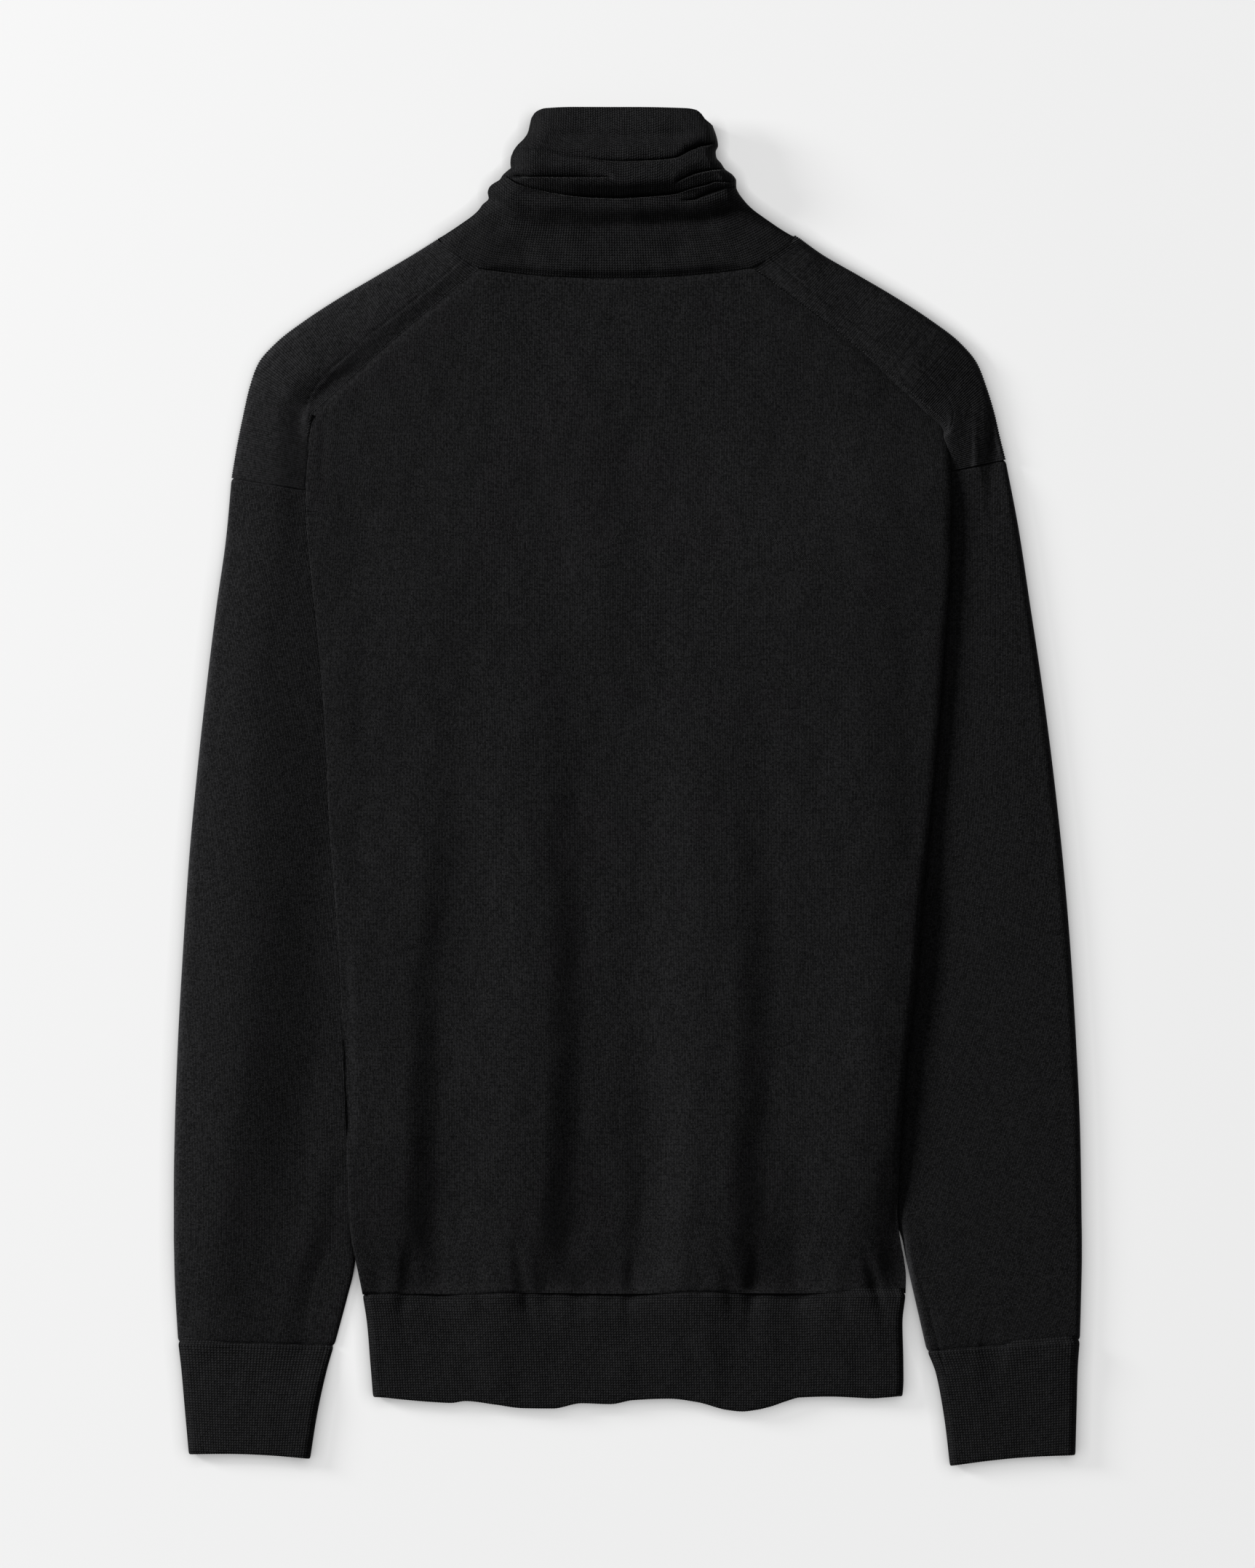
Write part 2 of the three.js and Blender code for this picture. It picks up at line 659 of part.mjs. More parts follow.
add(
  'back_panel',
  bodyPanel({
    upper: true,
    counts: [3, 3, 2, 12, 1, 3, 3],
    sideRows: bodyRows(),
    neckDrop: NECK_BACK_DROP,
  }),
  jersey(),
);
add(
  'front_panel',
  bodyPanel({
    upper: false,
    counts: [4, 3, 1, 12, 1, 3, 4],
    sideRows: bodyRows(),
    neckDrop: NECK_FRONT_DROP,
  }),
  jersey(),
);
add('saddle_left', saddle(SADDLE_LEFT), jersey());
add('saddle_right', saddle(SADDLE_RIGHT), jersey());
add('sleeve_left', limb(SLEEVE_LEFT, JERSEY, SLEEVE_RISE, 7), jersey());
add('sleeve_right', limb(SLEEVE_RIGHT, JERSEY, SLEEVE_RISE, 7), jersey());
add('cuff_left', limb(CUFF_LEFT, RIB, CUFF_RISE, 5), rib());
add('cuff_right', limb(CUFF_RIGHT, RIB, CUFF_RISE, 5), rib());
add('hem_band', hemBand(), rib());
add('collar', collar(), rib());

export default group;
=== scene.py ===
"""Looks of the turtleneck sweater: finer knitted surfaces, seams, materials, light and camera.

Shapes are worked out in millimetres in the model's own frame and turned into metres when a mesh
is made. Every piece carries knit coordinates: u counts ribs or stitch columns, v counts courses.
"""

import math

import bpy
import numpy as np
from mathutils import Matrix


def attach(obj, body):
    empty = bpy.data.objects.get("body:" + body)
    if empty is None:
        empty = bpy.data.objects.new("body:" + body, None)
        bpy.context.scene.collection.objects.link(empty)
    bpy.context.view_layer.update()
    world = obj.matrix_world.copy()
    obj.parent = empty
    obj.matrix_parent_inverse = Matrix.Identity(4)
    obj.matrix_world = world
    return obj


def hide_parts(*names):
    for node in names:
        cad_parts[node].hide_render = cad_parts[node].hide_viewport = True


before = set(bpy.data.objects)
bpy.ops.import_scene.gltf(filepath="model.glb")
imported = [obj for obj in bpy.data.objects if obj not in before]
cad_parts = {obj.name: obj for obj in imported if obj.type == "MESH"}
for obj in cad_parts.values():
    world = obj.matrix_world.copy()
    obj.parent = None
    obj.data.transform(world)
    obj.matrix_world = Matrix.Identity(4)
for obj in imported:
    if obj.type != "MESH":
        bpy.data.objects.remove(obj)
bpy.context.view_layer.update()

MM = 0.001


def table(names, *rows):
    """A short table as a dictionary of columns."""
    return dict(zip(names.split(), np.array(rows, float).T))


# Driving dimensions of the solids: heights of the flattened tubes, how far the tucked sleeves
# raise the body, width of a rolled side, the hem band's two ends, how far the body takes to slope
# down beside a sleeve, and the thickness of the cloth
BODY_RISE = 7.8
SLEEVE_RISE = 7.4
CUFF_RISE = 7.6
LIFT = 8.4
ROLL = 5.0
HEM_SEAM_Y = -296.5
HEM_END_Y = -359.0
TUCK_SLOPE = 26.0
CLOTH = 2.0

# How the back lies over the sleeves: width of its sharper left roll, length of its slope, the
# left side's share of the lift, the air under its middle, and what it sinks by towards the right
LEFT_ROLL = 1.4
SPAN_SLOPE = 160.0
LEFT_SHARE = 0.46
PUFF = 3.8
RIGHT_CROWN = 4.2
RIGHT_CROWN_REACH = 80.0

# What the saddles and limbs sink by towards their sides, and how far in that starts
SADDLE_LEFT_CROWN = 4.8
SADDLE_RIGHT_CROWN = 0.6
SADDLE_CROWN_REACH = 38.0
LIMB_CROWN_REACH = 36.0

# Knit gauge: width of a stitch column or rib, and height of a course
JERSEY_WALE = 0.97
JERSEY_COURSE = 0.93
SADDLE_RIDGE = 1.27
SADDLE_COURSE = 0.9
HEM_RIB = 1.53
CUFF_RIB = 1.62
COLLAR_RIB = 1.42
RIB_COURSE = 1.5
RIB_DEPTH = 0.16
SADDLE_DEPTH = 0.42

# Distance between the linked loops of a shoulder seam, length of cloth seen inside an open end,
# and the steps of the meshes: across a sleeve, and in each rib
SEAM_STITCH = 1.75
LIP_DEPTH = 14.0
SLEEVE_STEP = 1.1
RIB_STEPS = 4

# Side folds of the body, and how far the sleeves beneath it raise it there
BODY_SIDES = table(
    "y left right lift_left lift_right",
    (-296.5, -155.2, 162.6, 0, 0),
    (-287, -157.2, 162.8, 0.06, 0.06),
    (-276, -159.6, 161.4, 0.2, 0.2),
    (-265, -162.0, 159.2, 0.4, 0.4),
    (-252, -163.2, 157.6, 0.62, 0.62),
    (-235, -164.0, 158.2, 0.84, 0.84),
    (-205, -165.0, 160.2, 1, 1),
    (-165, -166.2, 163.5, 1, 1),
    (-120, -168.4, 168.8, 1, 1),
    (-75, -171.3, 172.3, 1, 1),
    (-25, -175.0, 176.8, 1, 1),
    (32, -177.6, 181.9, 1, 1),
    (85, -181.9, 185.7, 1, 1),
    (130, -186.2, 188.6, 1, 1),
    (158, -188.4, 189.1, 1, 1),
    (176, -188.5, 189.1, 0.88, 0.88),
    (192, -187.6, 188.8, 0.58, 0.58),
    (204, -186.6, 187.2, 0.28, 0.26),
    (217, -185.0, 184.6, 0, 0),
)

# Corners of the body's top edge, and the shape of the seams between them
LEFT_CORNER = (-185.0, 217.2)
LEFT_NECK = (-86.9, 302.5)
RIGHT_NECK = (72.8, 302.9)
RIGHT_CORNER = (184.6, 213.5)
LEFT_BULGE = 1.8
RIGHT_BULGE = 2.6
NECK_CENTRE_X = -7.0
NECK_BACK_DROP = 5.8
NECK_FRONT_DROP = 47.0
NECK_POWER = 2.2

# Saddle shoulders from the collar to the sleeve: folded shoulder edge, seam to the body, and how
# far the sewn groove runs from that seam. Below the body's corner the inner y is given too.
SADDLE_LEFT = table(
    "outer_x outer_y inner_x groove",
    (-109.3, 321.3, -84.6, 11.5),
    (-112.0, 319.6, -86.9, 11.5),
    (-125.7, 311.0, -105.0, 10.0),
    (-147.4, 298.2, -127.0, 10.5),
    (-169.1, 285.4, -147.0, 12.0),
    (-188.7, 272.6, -163.0, 12.2),
    (-205.3, 259.9, -174.0, 11.0),
    (-216.4, 247.1, -181.0, 7.8),
    (-221.4, 233.4, -185.3, 3.6),
    (-225.6, 215.0, -187.2, 0),
    (-229.0, 198.0, -188.4, 0),
    (-232.0, 180.2, -189.2, 0),
)
SADDLE_LEFT_END_Y = (216.4, 203.0, 188.5, 173.31)
SADDLE_RIGHT = table(
    "outer_x outer_y inner_x groove",
    (97.8, 322.2, 70.6, 12.0),
    (100.6, 320.4, 72.8, 12.0),
    (113.7, 311.0, 92.0, 10.0),
    (135.9, 298.2, 113.0, 9.6),
    (157.6, 285.4, 134.0, 10.6),
    (177.2, 272.6, 152.0, 12.5),
    (193.8, 259.9, 167.0, 13.6),
    (204.5, 247.1, 178.0, 12.0),
    (209.9, 233.4, 184.9, 7.0),
    (214.6, 218.0, 187.5, 0),
    (217.8, 204.0, 189.0, 0),
    (221.1, 190.9, 189.6, 0),
)
SADDLE_RIGHT_END_Y = (212.6, 203.0, 193.4, 184.3)

# Sleeves and cuffs: y on the outer edge, and how much lower the inner edge is
SLEEVE_LEFT = table(
    "y outer inner drop",
    (179.8, -232.0, -124.0, 17.4),
    (145, -235.2, -122.6, 9.0),
    (105, -240.8, -122.0, 3.0),
    (60, -246.4, -122.6, 0),
    (10, -251.9, -124.2, 0),
    (-45, -257.0, -127.6, 0),
    (-100, -260.6, -132.4, 0),
    (-150, -263.4, -138.6, 0),
    (-200, -265.2, -147.0, 0),
    (-235, -265.8, -154.6, 0),
    (-252, -265.8, -160.0, 0),
    (-265, -265.8, -161.0, 0),
    (-275, -265.6, -159.4, 0),
    (-285, -265.4, -160.6, 0.2),
    (-296, -265.0, -163.4, 0.6),
    (-325.6, -263.3, -171.8, 2.4),
)
SLEEVE_RIGHT = table(
    "y outer inner drop",
    (190.5, 221.1, 114.0, 22.4),
    (150, 228.8, 112.6, 10.0),
    (105, 235.6, 112.0, 3.0),
    (60, 242.3, 112.2, 0),
    (10, 248.8, 113.6, 0),
    (-45, 254.8, 117.4, 0),
    (-100, 259.4, 123.6, 0),
    (-150, 262.4, 131.6, 0),
    (-200, 264.7, 143.0, 0),
    (-235, 265.4, 150.8, 0),
    (-252, 265.6, 155.0, 0),
    (-265, 265.8, 160.4, 0),
    (-276, 265.8, 162.6, 0),
    (-296, 265.4, 167.2, 1.0),
    (-324.6, 264.6, 175.0, 6.6),
)
CUFF_LEFT = table(
    "y outer inner drop",
    (-325.6, -263.2, -172.2, 2.4),
    (-341, -261.4, -176.4, 1.8),
    (-366, -259.2, -181.9, 2.2),
    (-391.6, -256.9, -186.0, 2.6),
)
CUFF_RIGHT = table(
    "y outer inner drop",
    (-324.6, 264.5, 175.4, 6.6),
    (-341, 263.3, 180.6, 4.0),
    (-366, 262.6, 185.2, 4.0),
    (-392.0, 261.9, 188.6, 6.4),
)

HEM_SIDES = table(
    "y left right",
    (-296.5, -155.2, 162.6),
    (-315, -152.5, 160.7),
    (-337, -150.8, 161.2),
    (-350, -149.8, 161.3),
    (-359, -149.1, 160.8),
)
# The uneven lower edge of the hem band
HEM_EDGE = table(
    "x y",
    (-150, -357.2),
    (-146, -357.8),
    (-112, -361.0),
    (-103.5, -361.4),
    (-95, -360.3),
    (-78, -362.3),
    (-61, -364.5),
    (-44, -364.7),
    (-27, -361.6),
    (-10, -362.1),
    (3, -359.8),
    (24, -358.9),
    (41, -361.0),
    (58, -365.5),
    (67, -366.4),
    (75, -365.5),
    (84, -363.4),
    (92, -360.6),
    (101, -358.1),
    (118, -357.2),
    (143, -358.7),
    (152, -358.0),
    (160, -356.6),
)

# Collar: sides, open rim, and height along its length from the neck seam to the rim
COLLAR_SIDES = table(
    "y left right",
    (319.8, -111.4, 100.2),
    (323.0, -106.3, 94.0),
    (326.3, -101.2, 88.6),
    (329.7, -96.2, 83.6),
    (333.1, -91.4, 78.7),
    (336.5, -87.6, 74.0),
    (340.0, -85.0, 70.1),
    (343.4, -81.4, 67.2),
    (346.8, -82.0, 64.7),
    (350.2, -80.8, 63.4),
    (353.6, -75.4, 63.4),
    (357.0, -73.0, 61.4),
    (360.4, -68.4, 56.8),
    (363.8, -68.7, 54.6),
    (367.2, -68.4, 51.8),
    (370.6, -66.4, 51.4),
    (374.0, -62.6, 52.8),
    (377.4, -60.0, 52.4),
    (380.8, -58.6, 51.5),
    (386.0, -57.5, 49.6),
)
COLLAR_RIM = table(
    "x y",
    (-57.6, 386.0),
    (-56.2, 391.0),
    (-53.4, 394.3),
    (-48.0, 396.2),
    (-30.0, 397.0),
    (0.0, 397.0),
    (34.0, 396.2),
    (39.4, 395.2),
    (42.6, 392.8),
    (44.6, 390.0),
    (49.8, 386.0),
)
COLLAR_HEIGHTS = table(
    "along height",
    (0, 7.8),
    (0.09, 8.8),
    (0.2, 10.2),
    (0.29, 12.4),
    (0.35, 15.8),
    (0.41, 18.8),
    (0.47, 20.0),
    (0.5, 21.8),
    (0.54, 24.0),
    (0.6, 25.0),
    (0.7, 24.4),
    (0.78, 23.2),
    (0.88, 21.6),
    (0.95, 20.0),
    (1, 18.0),
)


def fold(half, rest, recover, *rows):
    """A soft step down towards +X, half wide each way, level for rest, then rising over recover."""
    return {"half": half, "rest": rest, "recover": recover, "path": table("y x depth", *rows)}


# Long soft folds of the back, which run down into the hem band
BODY_FOLDS = (
    fold(
        11, 2, 44,
        (150, -111, 0),
        (32, -110, 0.6),
        (-15, -110, 1.4),
        (-136, -118.5, 3.6),
        (-240, -121.5, 4.4),
        (-285, -125, 4.2),
        (-305, -127, 2.4),
        (-362, -128, 0.4),
    ),
    fold(
        12, 26, 44,
        (120, -42, 0),
        (14, -38.5, 1.6),
        (-111, -35.5, 3.4),
        (-234, -40.5, 4.4),
        (-285, -48, 4.6),
        (-305, -54, 2.8),
        (-362, -56, 1.0),
    ),
    fold(
        8, 3, 24,
        (-130, 6, 0),
        (-234, 4, 2.0),
        (-285, 1, 2.4),
        (-305, 0, 1.2),
        (-362, 0, 0.2),
    ),
    fold(
        13, 14, 44,
        (110, 70, 0),
        (-15, 73, 2.2),
        (-136, 74.5, 4.2),
        (-234, 69.5, 5.0),
        (-285, 70, 4.8),
        (-305, 66, 2.8),
        (-362, 66, 1.0),
    ),
    fold(
        9, 2, 20,
        (-120, 156, 0),
        (-200, 154, 1.2),
        (-245, 151, 2.4),
        (-288, 147, 2.2),
        (-300, 146, 0.8),
        (-362, 146, 0),
    ),
)

# Short puckers just above the hem seam, and creases near the sides of the back
GATHERS = table(
    "x top bottom lean half depth",
    (-131, -262, -297, -4, 4.5, 1.0),
    (-87, -272, -297, 2, 5.0, 0.8),
    (-60, -258, -299, 8, 4.0, 1.3),
    (1, -268, -297, -3, 4.0, 1.1),
    (60, -276, -298, 3, 4.5, 1.0),
    (73, -262, -298, -3, 4.0, 1.0),
    (99, -240, -296, 2, 6.0, 1.2),
    (128, -270, -297, -2, 5.0, 0.8),
    (146, -266, -297, 9, 3.6, 1.6),
    (-178, 223, 196, -1, 2.2, 0.6),
    (-164, -50, -190, 3, 4.0, 1.2),
    (-158, 150, -60, -6, 7.0, 0.5),
    (166, 130, -30, 4, 8.0, 0.5),
)
# Seam lines and a crease of the sleeves and cuffs. A negative depth is a narrow ridge.
SLEEVE_LINES = table(
    "x top bottom lean half depth",
    (204, 232, 150, 1, 1.8, -0.9),
    (-176.6, -262, -326, -17, 0.9, 0.35),
    (181, -276, -325, 13, 0.9, 0.35),
    (-191, -322, -400, -12, 0.8, 0.35),
    (192.5, -322, -400, 10, 0.8, 0.25),
)

# Folds of the sleeves and the lower saddles
SLEEVE_FOLDS = (
    fold(
        26, 46, 24,
        (235, -204, 0.0),
        (178, -202, 2.0),
        (103, -199, 4.2),
        (-23, -198, 6.4),
        (-146, -202, 7.6),
        (-217, -211, 7.0),
        (-270, -221, 5.6),
        (-323, -233, 3.4),
        (-370, -238, 1.2),
    ),
    fold(
        9, 26, 16,
        (244, -186, 0),
        (236, -190, 1.2),
        (228, -194, 2.0),
        (222, -197, 2.2),
        (200, -198, 2.2),
        (180, -199, 1.8),
        (140, -200, 0.8),
        (100, -200, 0),
    ),
    fold(
        10, 4, 30,
        (-200, -168, 0),
        (-250, -176, 1.8),
        (-288, -186, 2.2),
        (-323, -196, 1.4),
        (-370, -206, 0.3),
    ),
    fold(
        4.5, 4, 12,
        (232, 212, 0),
        (220, 212.4, 2.0),
        (196, 210.4, 2.2),
        (182, 209, 1.6),
        (150, 209, 1.0),
        (60, 214, 0.5),
        (-100, 216, 0.6),
        (-270, 207, 1.0),
        (-323, 206, 1.0),
    ),
    fold(
        26, 30, 20,
        (190, 205, 0),
        (120, 207, -2.4),
        (0, 209, -5.0),
        (-150, 210, -5.0),
        (-290, 214, -3.0),
        (-350, 216, -0.6),
    ),
)


def crease(south, north, overhang, *rows):
    """A crease along X: its reach to the south and the north, and how far the lip lies over it."""
    return {"south": south, "north": north, "overhang": overhang,
            "path": table("x y depth", *rows)}


# Creases between the rolls of the collar, the topmost first
COLLAR_CREASES = (
    crease(
        1.4, 4.6, 1.6,
        (-62, 373.4, 0.6),
        (-48.6, 371.9, 1.2),
        (-29, 367.8, 1.4),
        (-6, 365.7, 2.4),
        (13.6, 366.3, 2.6),
        (26.8, 367.8, 3.6),
        (36.6, 372.7, 6.6),
        (43.3, 375.3, 7.2),
        (51, 376.4, 4.0),
    ),
    crease(
        1.0, 5.6, 2.0,
        (-68, 357.4, 1.4),
        (-55, 357.4, 7.0),
        (-38.8, 357.2, 10.0),
        (-25.6, 357.2, 8.6),
        (-15.8, 357.0, 4.6),
        (-8, 354.8, 0.0),
    ),
    crease(
        1.0, 8.5, 2.0,
        (-72, 357.6, 3.4),
        (-63.2, 353.2, 6.8),
        (-51.8, 349.8, 7.4),
        (-38.8, 347.2, 8.0),
        (-22.2, 345.5, 10.0),
        (-6, 345.0, 12.0),
        (10.6, 345.9, 12.0),
        (26.8, 347.4, 11.0),
        (37.0, 350.6, 7.6),
        (45.6, 352.7, 6.8),
        (52.0, 354.6, 6.0),
        (60.0, 353.9, 4.2),
    ),
    crease(
        1.2, 5.8, 1.8,
        (27, 352.6, 0.0),
        (31.8, 355.8, 4.6),
        (40.0, 359.3, 7.4),
        (45.6, 360.6, 7.6),
        (51.5, 361.4, 6.0),
        (56, 361.2, 3.4),
    ),
    crease(
        1.1, 4.2, 1.6,
        (30, 342.4, 0.0),
        (38, 343.4, 3.2),
        (43.3, 345.7, 5.4),
        (50.0, 348.2, 5.2),
        (57.0, 350.2, 4.0),
        (64, 351.0, 2.2),
    ),
)


# Number helpers

def smooth(keys, values, at):
    """Monotone cubic through the points of a table, level beyond its ends."""
    keys = np.asarray(keys, float)
    values = np.asarray(values, float)
    if keys[0] > keys[-1]:
        keys = keys[::-1]
        values = values[::-1]
    step = np.diff(keys)
    slope = np.diff(values) / step
    tangent = np.zeros_like(values)
    tangent[0] = slope[0]
    tangent[-1] = slope[-1]
    for i in range(1, len(values) - 1):
        if slope[i - 1] * slope[i] > 0:
            before = 2 * step[i] + step[i - 1]
            after = step[i] + 2 * step[i - 1]
            tangent[i] = (before + after) / (before / slope[i - 1] + after / slope[i])
    at = np.clip(np.asarray(at, float), keys[0], keys[-1])
    i = np.clip(np.searchsorted(keys, at, side="right") - 1, 0, len(step) - 1)
    t = (at - keys[i]) / step[i]
    start = values[i] * (1 + 2 * t) * (1 - t) ** 2 + step[i] * tangent[i] * t * (1 - t) ** 2
    end = values[i + 1] * t * t * (3 - 2 * t) + step[i] * tangent[i + 1] * t * t * (t - 1)
    return start + end


def read(tab, key, value, column):
    return smooth(tab[key], tab[column], value)


def mix(a, b, t):
    return a + (b - a) * t


def ease(t):
    s = np.clip(t, 0.0, 1.0)
    return s * s * (3 - 2 * s)


def rounded(t):
    """From 1 at an edge to 0, steepest at the edge."""
    return (1 - np.clip(t, 0, 1)) ** 2


def slope_down(t):
    """From 1 to 0 in an almost straight slope."""
    return 0.65 * (1 - np.clip(t, 0, 1)) + 0.35 * (1 - ease(t))


def uneven(x, y, size, seed, count=14):
    """Gentle unevenness about -1 to 1, made of seeded waves about one size long."""
    rng = np.random.default_rng(seed)
    total = np.zeros(np.broadcast(x, y).shape)
    for _ in range(count):
        angle = rng.uniform(0, math.pi)
        wave = size * rng.uniform(0.7, 1.9)
        phase = rng.uniform(0, 2 * math.pi)
        total = total + np.sin(
            2 * math.pi * (x * math.cos(angle) + y * math.sin(angle)) / wave + phase
        )
    return total / math.sqrt(count)


def folds_depth(folds, x, y):
    """Depth of a set of long folds: a step down, a level stretch and a slow rise."""
    depth = np.zeros(np.broadcast(x, y).shape)
    for item in folds:
        centre = read(item["path"], "y", y, "x")
        amount = read(item["path"], "y", y, "depth")
        half = item["half"]
        away = x - centre
        down = ease((away + half) / (2 * half))
        back = 1 - ease((away - half - item["rest"]) / item["recover"])
        depth = depth + amount * down * back
    return depth


def lines_depth(lines, x, y):
    """Depth of short creases that lean from x at the bottom to x less lean at the top."""
    depth = np.zeros(np.broadcast(x, y).shape)
    for centre, top, bottom, lean, half, amount in zip(*lines.values()):
        along = np.clip((top - y) / (top - bottom), 0, 1.4)
        path = centre - lean * (1 - along)
        across = (x - path) / half
        fade = ease(along * 1.6) * (1 - ease((bottom - 6 - y) / 24))
        depth = depth + amount * fade * np.exp(-across * across)
    return depth


def distances(points, axis):
    """Running length along rows or columns of a grid of points."""
    step = np.linalg.norm(np.diff(points, axis=axis), axis=2)
    pad = [(0, 0), (0, 0)]
    pad[axis] = (1, 0)
    return np.pad(np.cumsum(step, axis=axis), pad)


def normals(points, around):
    """Unit normals of a grid of points, which may close on itself along the rows."""
    if around:
        across = np.roll(points, -1, axis=1) - np.roll(points, 1, axis=1)
    else:
        across = np.gradient(points, axis=1)
    along = np.gradient(points, axis=0)
    normal = np.cross(across, along)
    length = np.linalg.norm(normal, axis=2, keepdims=True)
    return normal / np.maximum(length, 1e-9)


# Shapes shared by neighbouring pieces

def hem_seam(x):
    return HEM_SEAM_Y - 0.5 + 0.4 * uneven(x, 0 * x, 95, 3, 6) - 1.2 * ease((-120 - x) / 35)


def neck_seam(x, drop):
    level = mix(LEFT_NECK[1], RIGHT_NECK[1], (x - LEFT_NECK[0]) / (RIGHT_NECK[0] - LEFT_NECK[0]))
    reach = np.where(x < NECK_CENTRE_X, NECK_CENTRE_X - LEFT_NECK[0], RIGHT_NECK[0] - NECK_CENTRE_X)
    away = np.clip(np.abs(x - NECK_CENTRE_X) / reach, 0, 1)
    return level - drop * (1 - away ** NECK_POWER)


def shoulder_seam(x, corner, neck, bulge):
    t = (x - corner[0]) / (neck[0] - corner[0])
    return mix(corner[1], neck[1], t) + bulge * np.sin(math.pi * np.clip(t, 0, 1)) * (t > 0)


def top_outline(x, drop):
    left = shoulder_seam(x, LEFT_CORNER, LEFT_NECK, LEFT_BULGE)
    right = shoulder_seam(x, RIGHT_CORNER, RIGHT_NECK, RIGHT_BULGE)
    middle = neck_seam(x, drop)
    return np.where(x < LEFT_NECK[0], left, np.where(x > RIGHT_NECK[0], right, middle))


def under_lift(x, y):
    """How far the tucked sleeves raise the front panel, which lies on them."""
    left_sleeve = read(SLEEVE_LEFT, "y", y, "inner") + 1.5
    right_sleeve = read(SLEEVE_RIGHT, "y", y, "inner") - 1.5
    left = read(BODY_SIDES, "y", y, "lift_left") * (1 - ease((x - left_sleeve) / TUCK_SLOPE))
    right = read(BODY_SIDES, "y", y, "lift_right") * (1 - ease((right_sleeve - x) / TUCK_SLOPE))
    return LIFT * np.maximum(LEFT_SHARE * left, right)


def over_lift(x, y):
    """The same for the back, which spans the step under it in one long slope."""
    left_edge = read(BODY_SIDES, "y", y, "left")
    right_edge = read(BODY_SIDES, "y", y, "right")
    left = read(BODY_SIDES, "y", y, "lift_left") * slope_down((x - left_edge - 4) / SPAN_SLOPE)
    right = read(BODY_SIDES, "y", y, "lift_right") * slope_down((right_edge - 4 - x) / SPAN_SLOPE)
    middle = (x - left_edge) / (right_edge - left_edge)
    puff = PUFF * np.sin(math.pi * np.clip(middle, 0, 1)) * ease((190 - y) / 90)
    return LIFT * (LEFT_SHARE * left + right) + puff * ease((y - HEM_SEAM_Y) / 170)


def body_relief(x, y):
    """What the folds take from the height of the back."""
    soft = 0.35 * uneven(x, y * 0.45, 60, 11) + 0.16 * uneven(x, y * 0.7, 22, 12)
    near_hem = 1 - ease((y - HEM_SEAM_Y) / 60)
    pucker = 0.3 * near_hem * uneven(x, y * 0.3, 16, 13)
    fuller = 1.2 * ease((60 - y) / 170) * (1 - ease((HEM_SEAM_Y + 70 - y) / 120))
    return folds_depth(BODY_FOLDS, x, y) + lines_depth(GATHERS, x, y) + soft + pucker - fuller


def sleeve_relief(x, y):
    soft = 0.3 * uneven(x, y * 0.4, 52, 21) + 0.12 * uneven(x, y * 0.7, 20, 22)
    return folds_depth(SLEEVE_FOLDS, x, y) + lines_depth(SLEEVE_LINES, x, y) + soft


# Meshes

class Cloth:
    """Gathers grids of points, with knit coordinates, into one mesh."""

    def __init__(self):
        self.points = []
        self.faces = []
        self.knit = []
        self.count = 0

    def grid(self, points, knit, around=False, turned=False):
        """Adds a grid, or its mirror. A ring's knit grid has one column more than its points."""
        if turned:
            points = points[:, ::-1]
            knit = knit[:, ::-1]
        rows, columns = points.shape[:2]
        index = self.count + np.arange(rows * columns).reshape(rows, columns)
        if around:
            index = np.hstack([index, index[:, :1]])
        corners = [
            (slice(None, -1), slice(None, -1)),
            (slice(None, -1), slice(1, None)),
            (slice(1, None), slice(1, None)),
            (slice(1, None), slice(None, -1)),
        ]
        self.faces.append(np.stack([index[c] for c in corners], axis=-1).reshape(-1, 4))
        self.knit.append(np.stack([knit[c] for c in corners], axis=-2).reshape(-1, 2))
        self.points.append(points.reshape(-1, 3))
        self.count += rows * columns

    def make(self, name, knit):
        """The piece and the material of its knit."""
        mesh = bpy.data.meshes.new(name)
        faces = np.concatenate(self.faces)
        points = np.concatenate(self.points) * MM
        mesh.from_pydata(points.tolist(), [], faces.tolist())
        layer = mesh.uv_layers.new(name="knit")
        layer.data.foreach_set("uv", np.concatenate(self.knit).astype("f").ravel())
        mesh.shade_smooth()
        mesh.materials.append(MATERIALS[knit])
        piece = bpy.data.objects.new(name, mesh)
        bpy.context.collection.objects.link(piece)
        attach(piece, "root")
        return piece


def knit_of(u, v):
    return np.stack(np.broadcast_arrays(u, v), axis=-1)


def stitches(cloth, centres, heading, long, wide):
    """Adds a row of short yarn loops, as long and wide beads, to a mesh."""
    lengthwise = np.linspace(-1, 1, 5)
    girth = np.sqrt(1 - (lengthwise * 0.96) ** 2)
    turn = np.linspace(0, 2 * math.pi, 6, endpoint=False)
    forward = np.array([math.cos(heading), math.sin(heading), 0])
    sideways = np.array([-forward[1], forward[0], 0])
    up = np.array([0, 0, 1])
    round_it = np.cos(turn)[:, None] * sideways + np.sin(turn)[:, None] * up
    bead = lengthwise[:, None, None] * forward * long / 2
    bead = bead + girth[:, None, None] * round_it[None] * wide / 2
    knit = np.zeros((len(lengthwise), len(turn) + 1, 2))
    for centre in centres:
        cloth.grid(bead + centre, knit, around=True)


def spaced(points, step):
    """Points at equal steps along a line of points."""
    run = np.linalg.norm(np.diff(points, axis=0), axis=1)
    run = np.concatenate([[0], np.cumsum(run)])
    at = np.arange(step / 2, run[-1], step)
    return np.stack([np.interp(at, run, points[:, k]) for k in range(3)], axis=-1)


def edge_steps(width, steps):
    """Distances from an edge and shares of height for a quarter-round fold."""
    turn = np.radians(np.linspace(0, 90, steps))
    return width * (1 - np.cos(turn)), np.sin(turn)


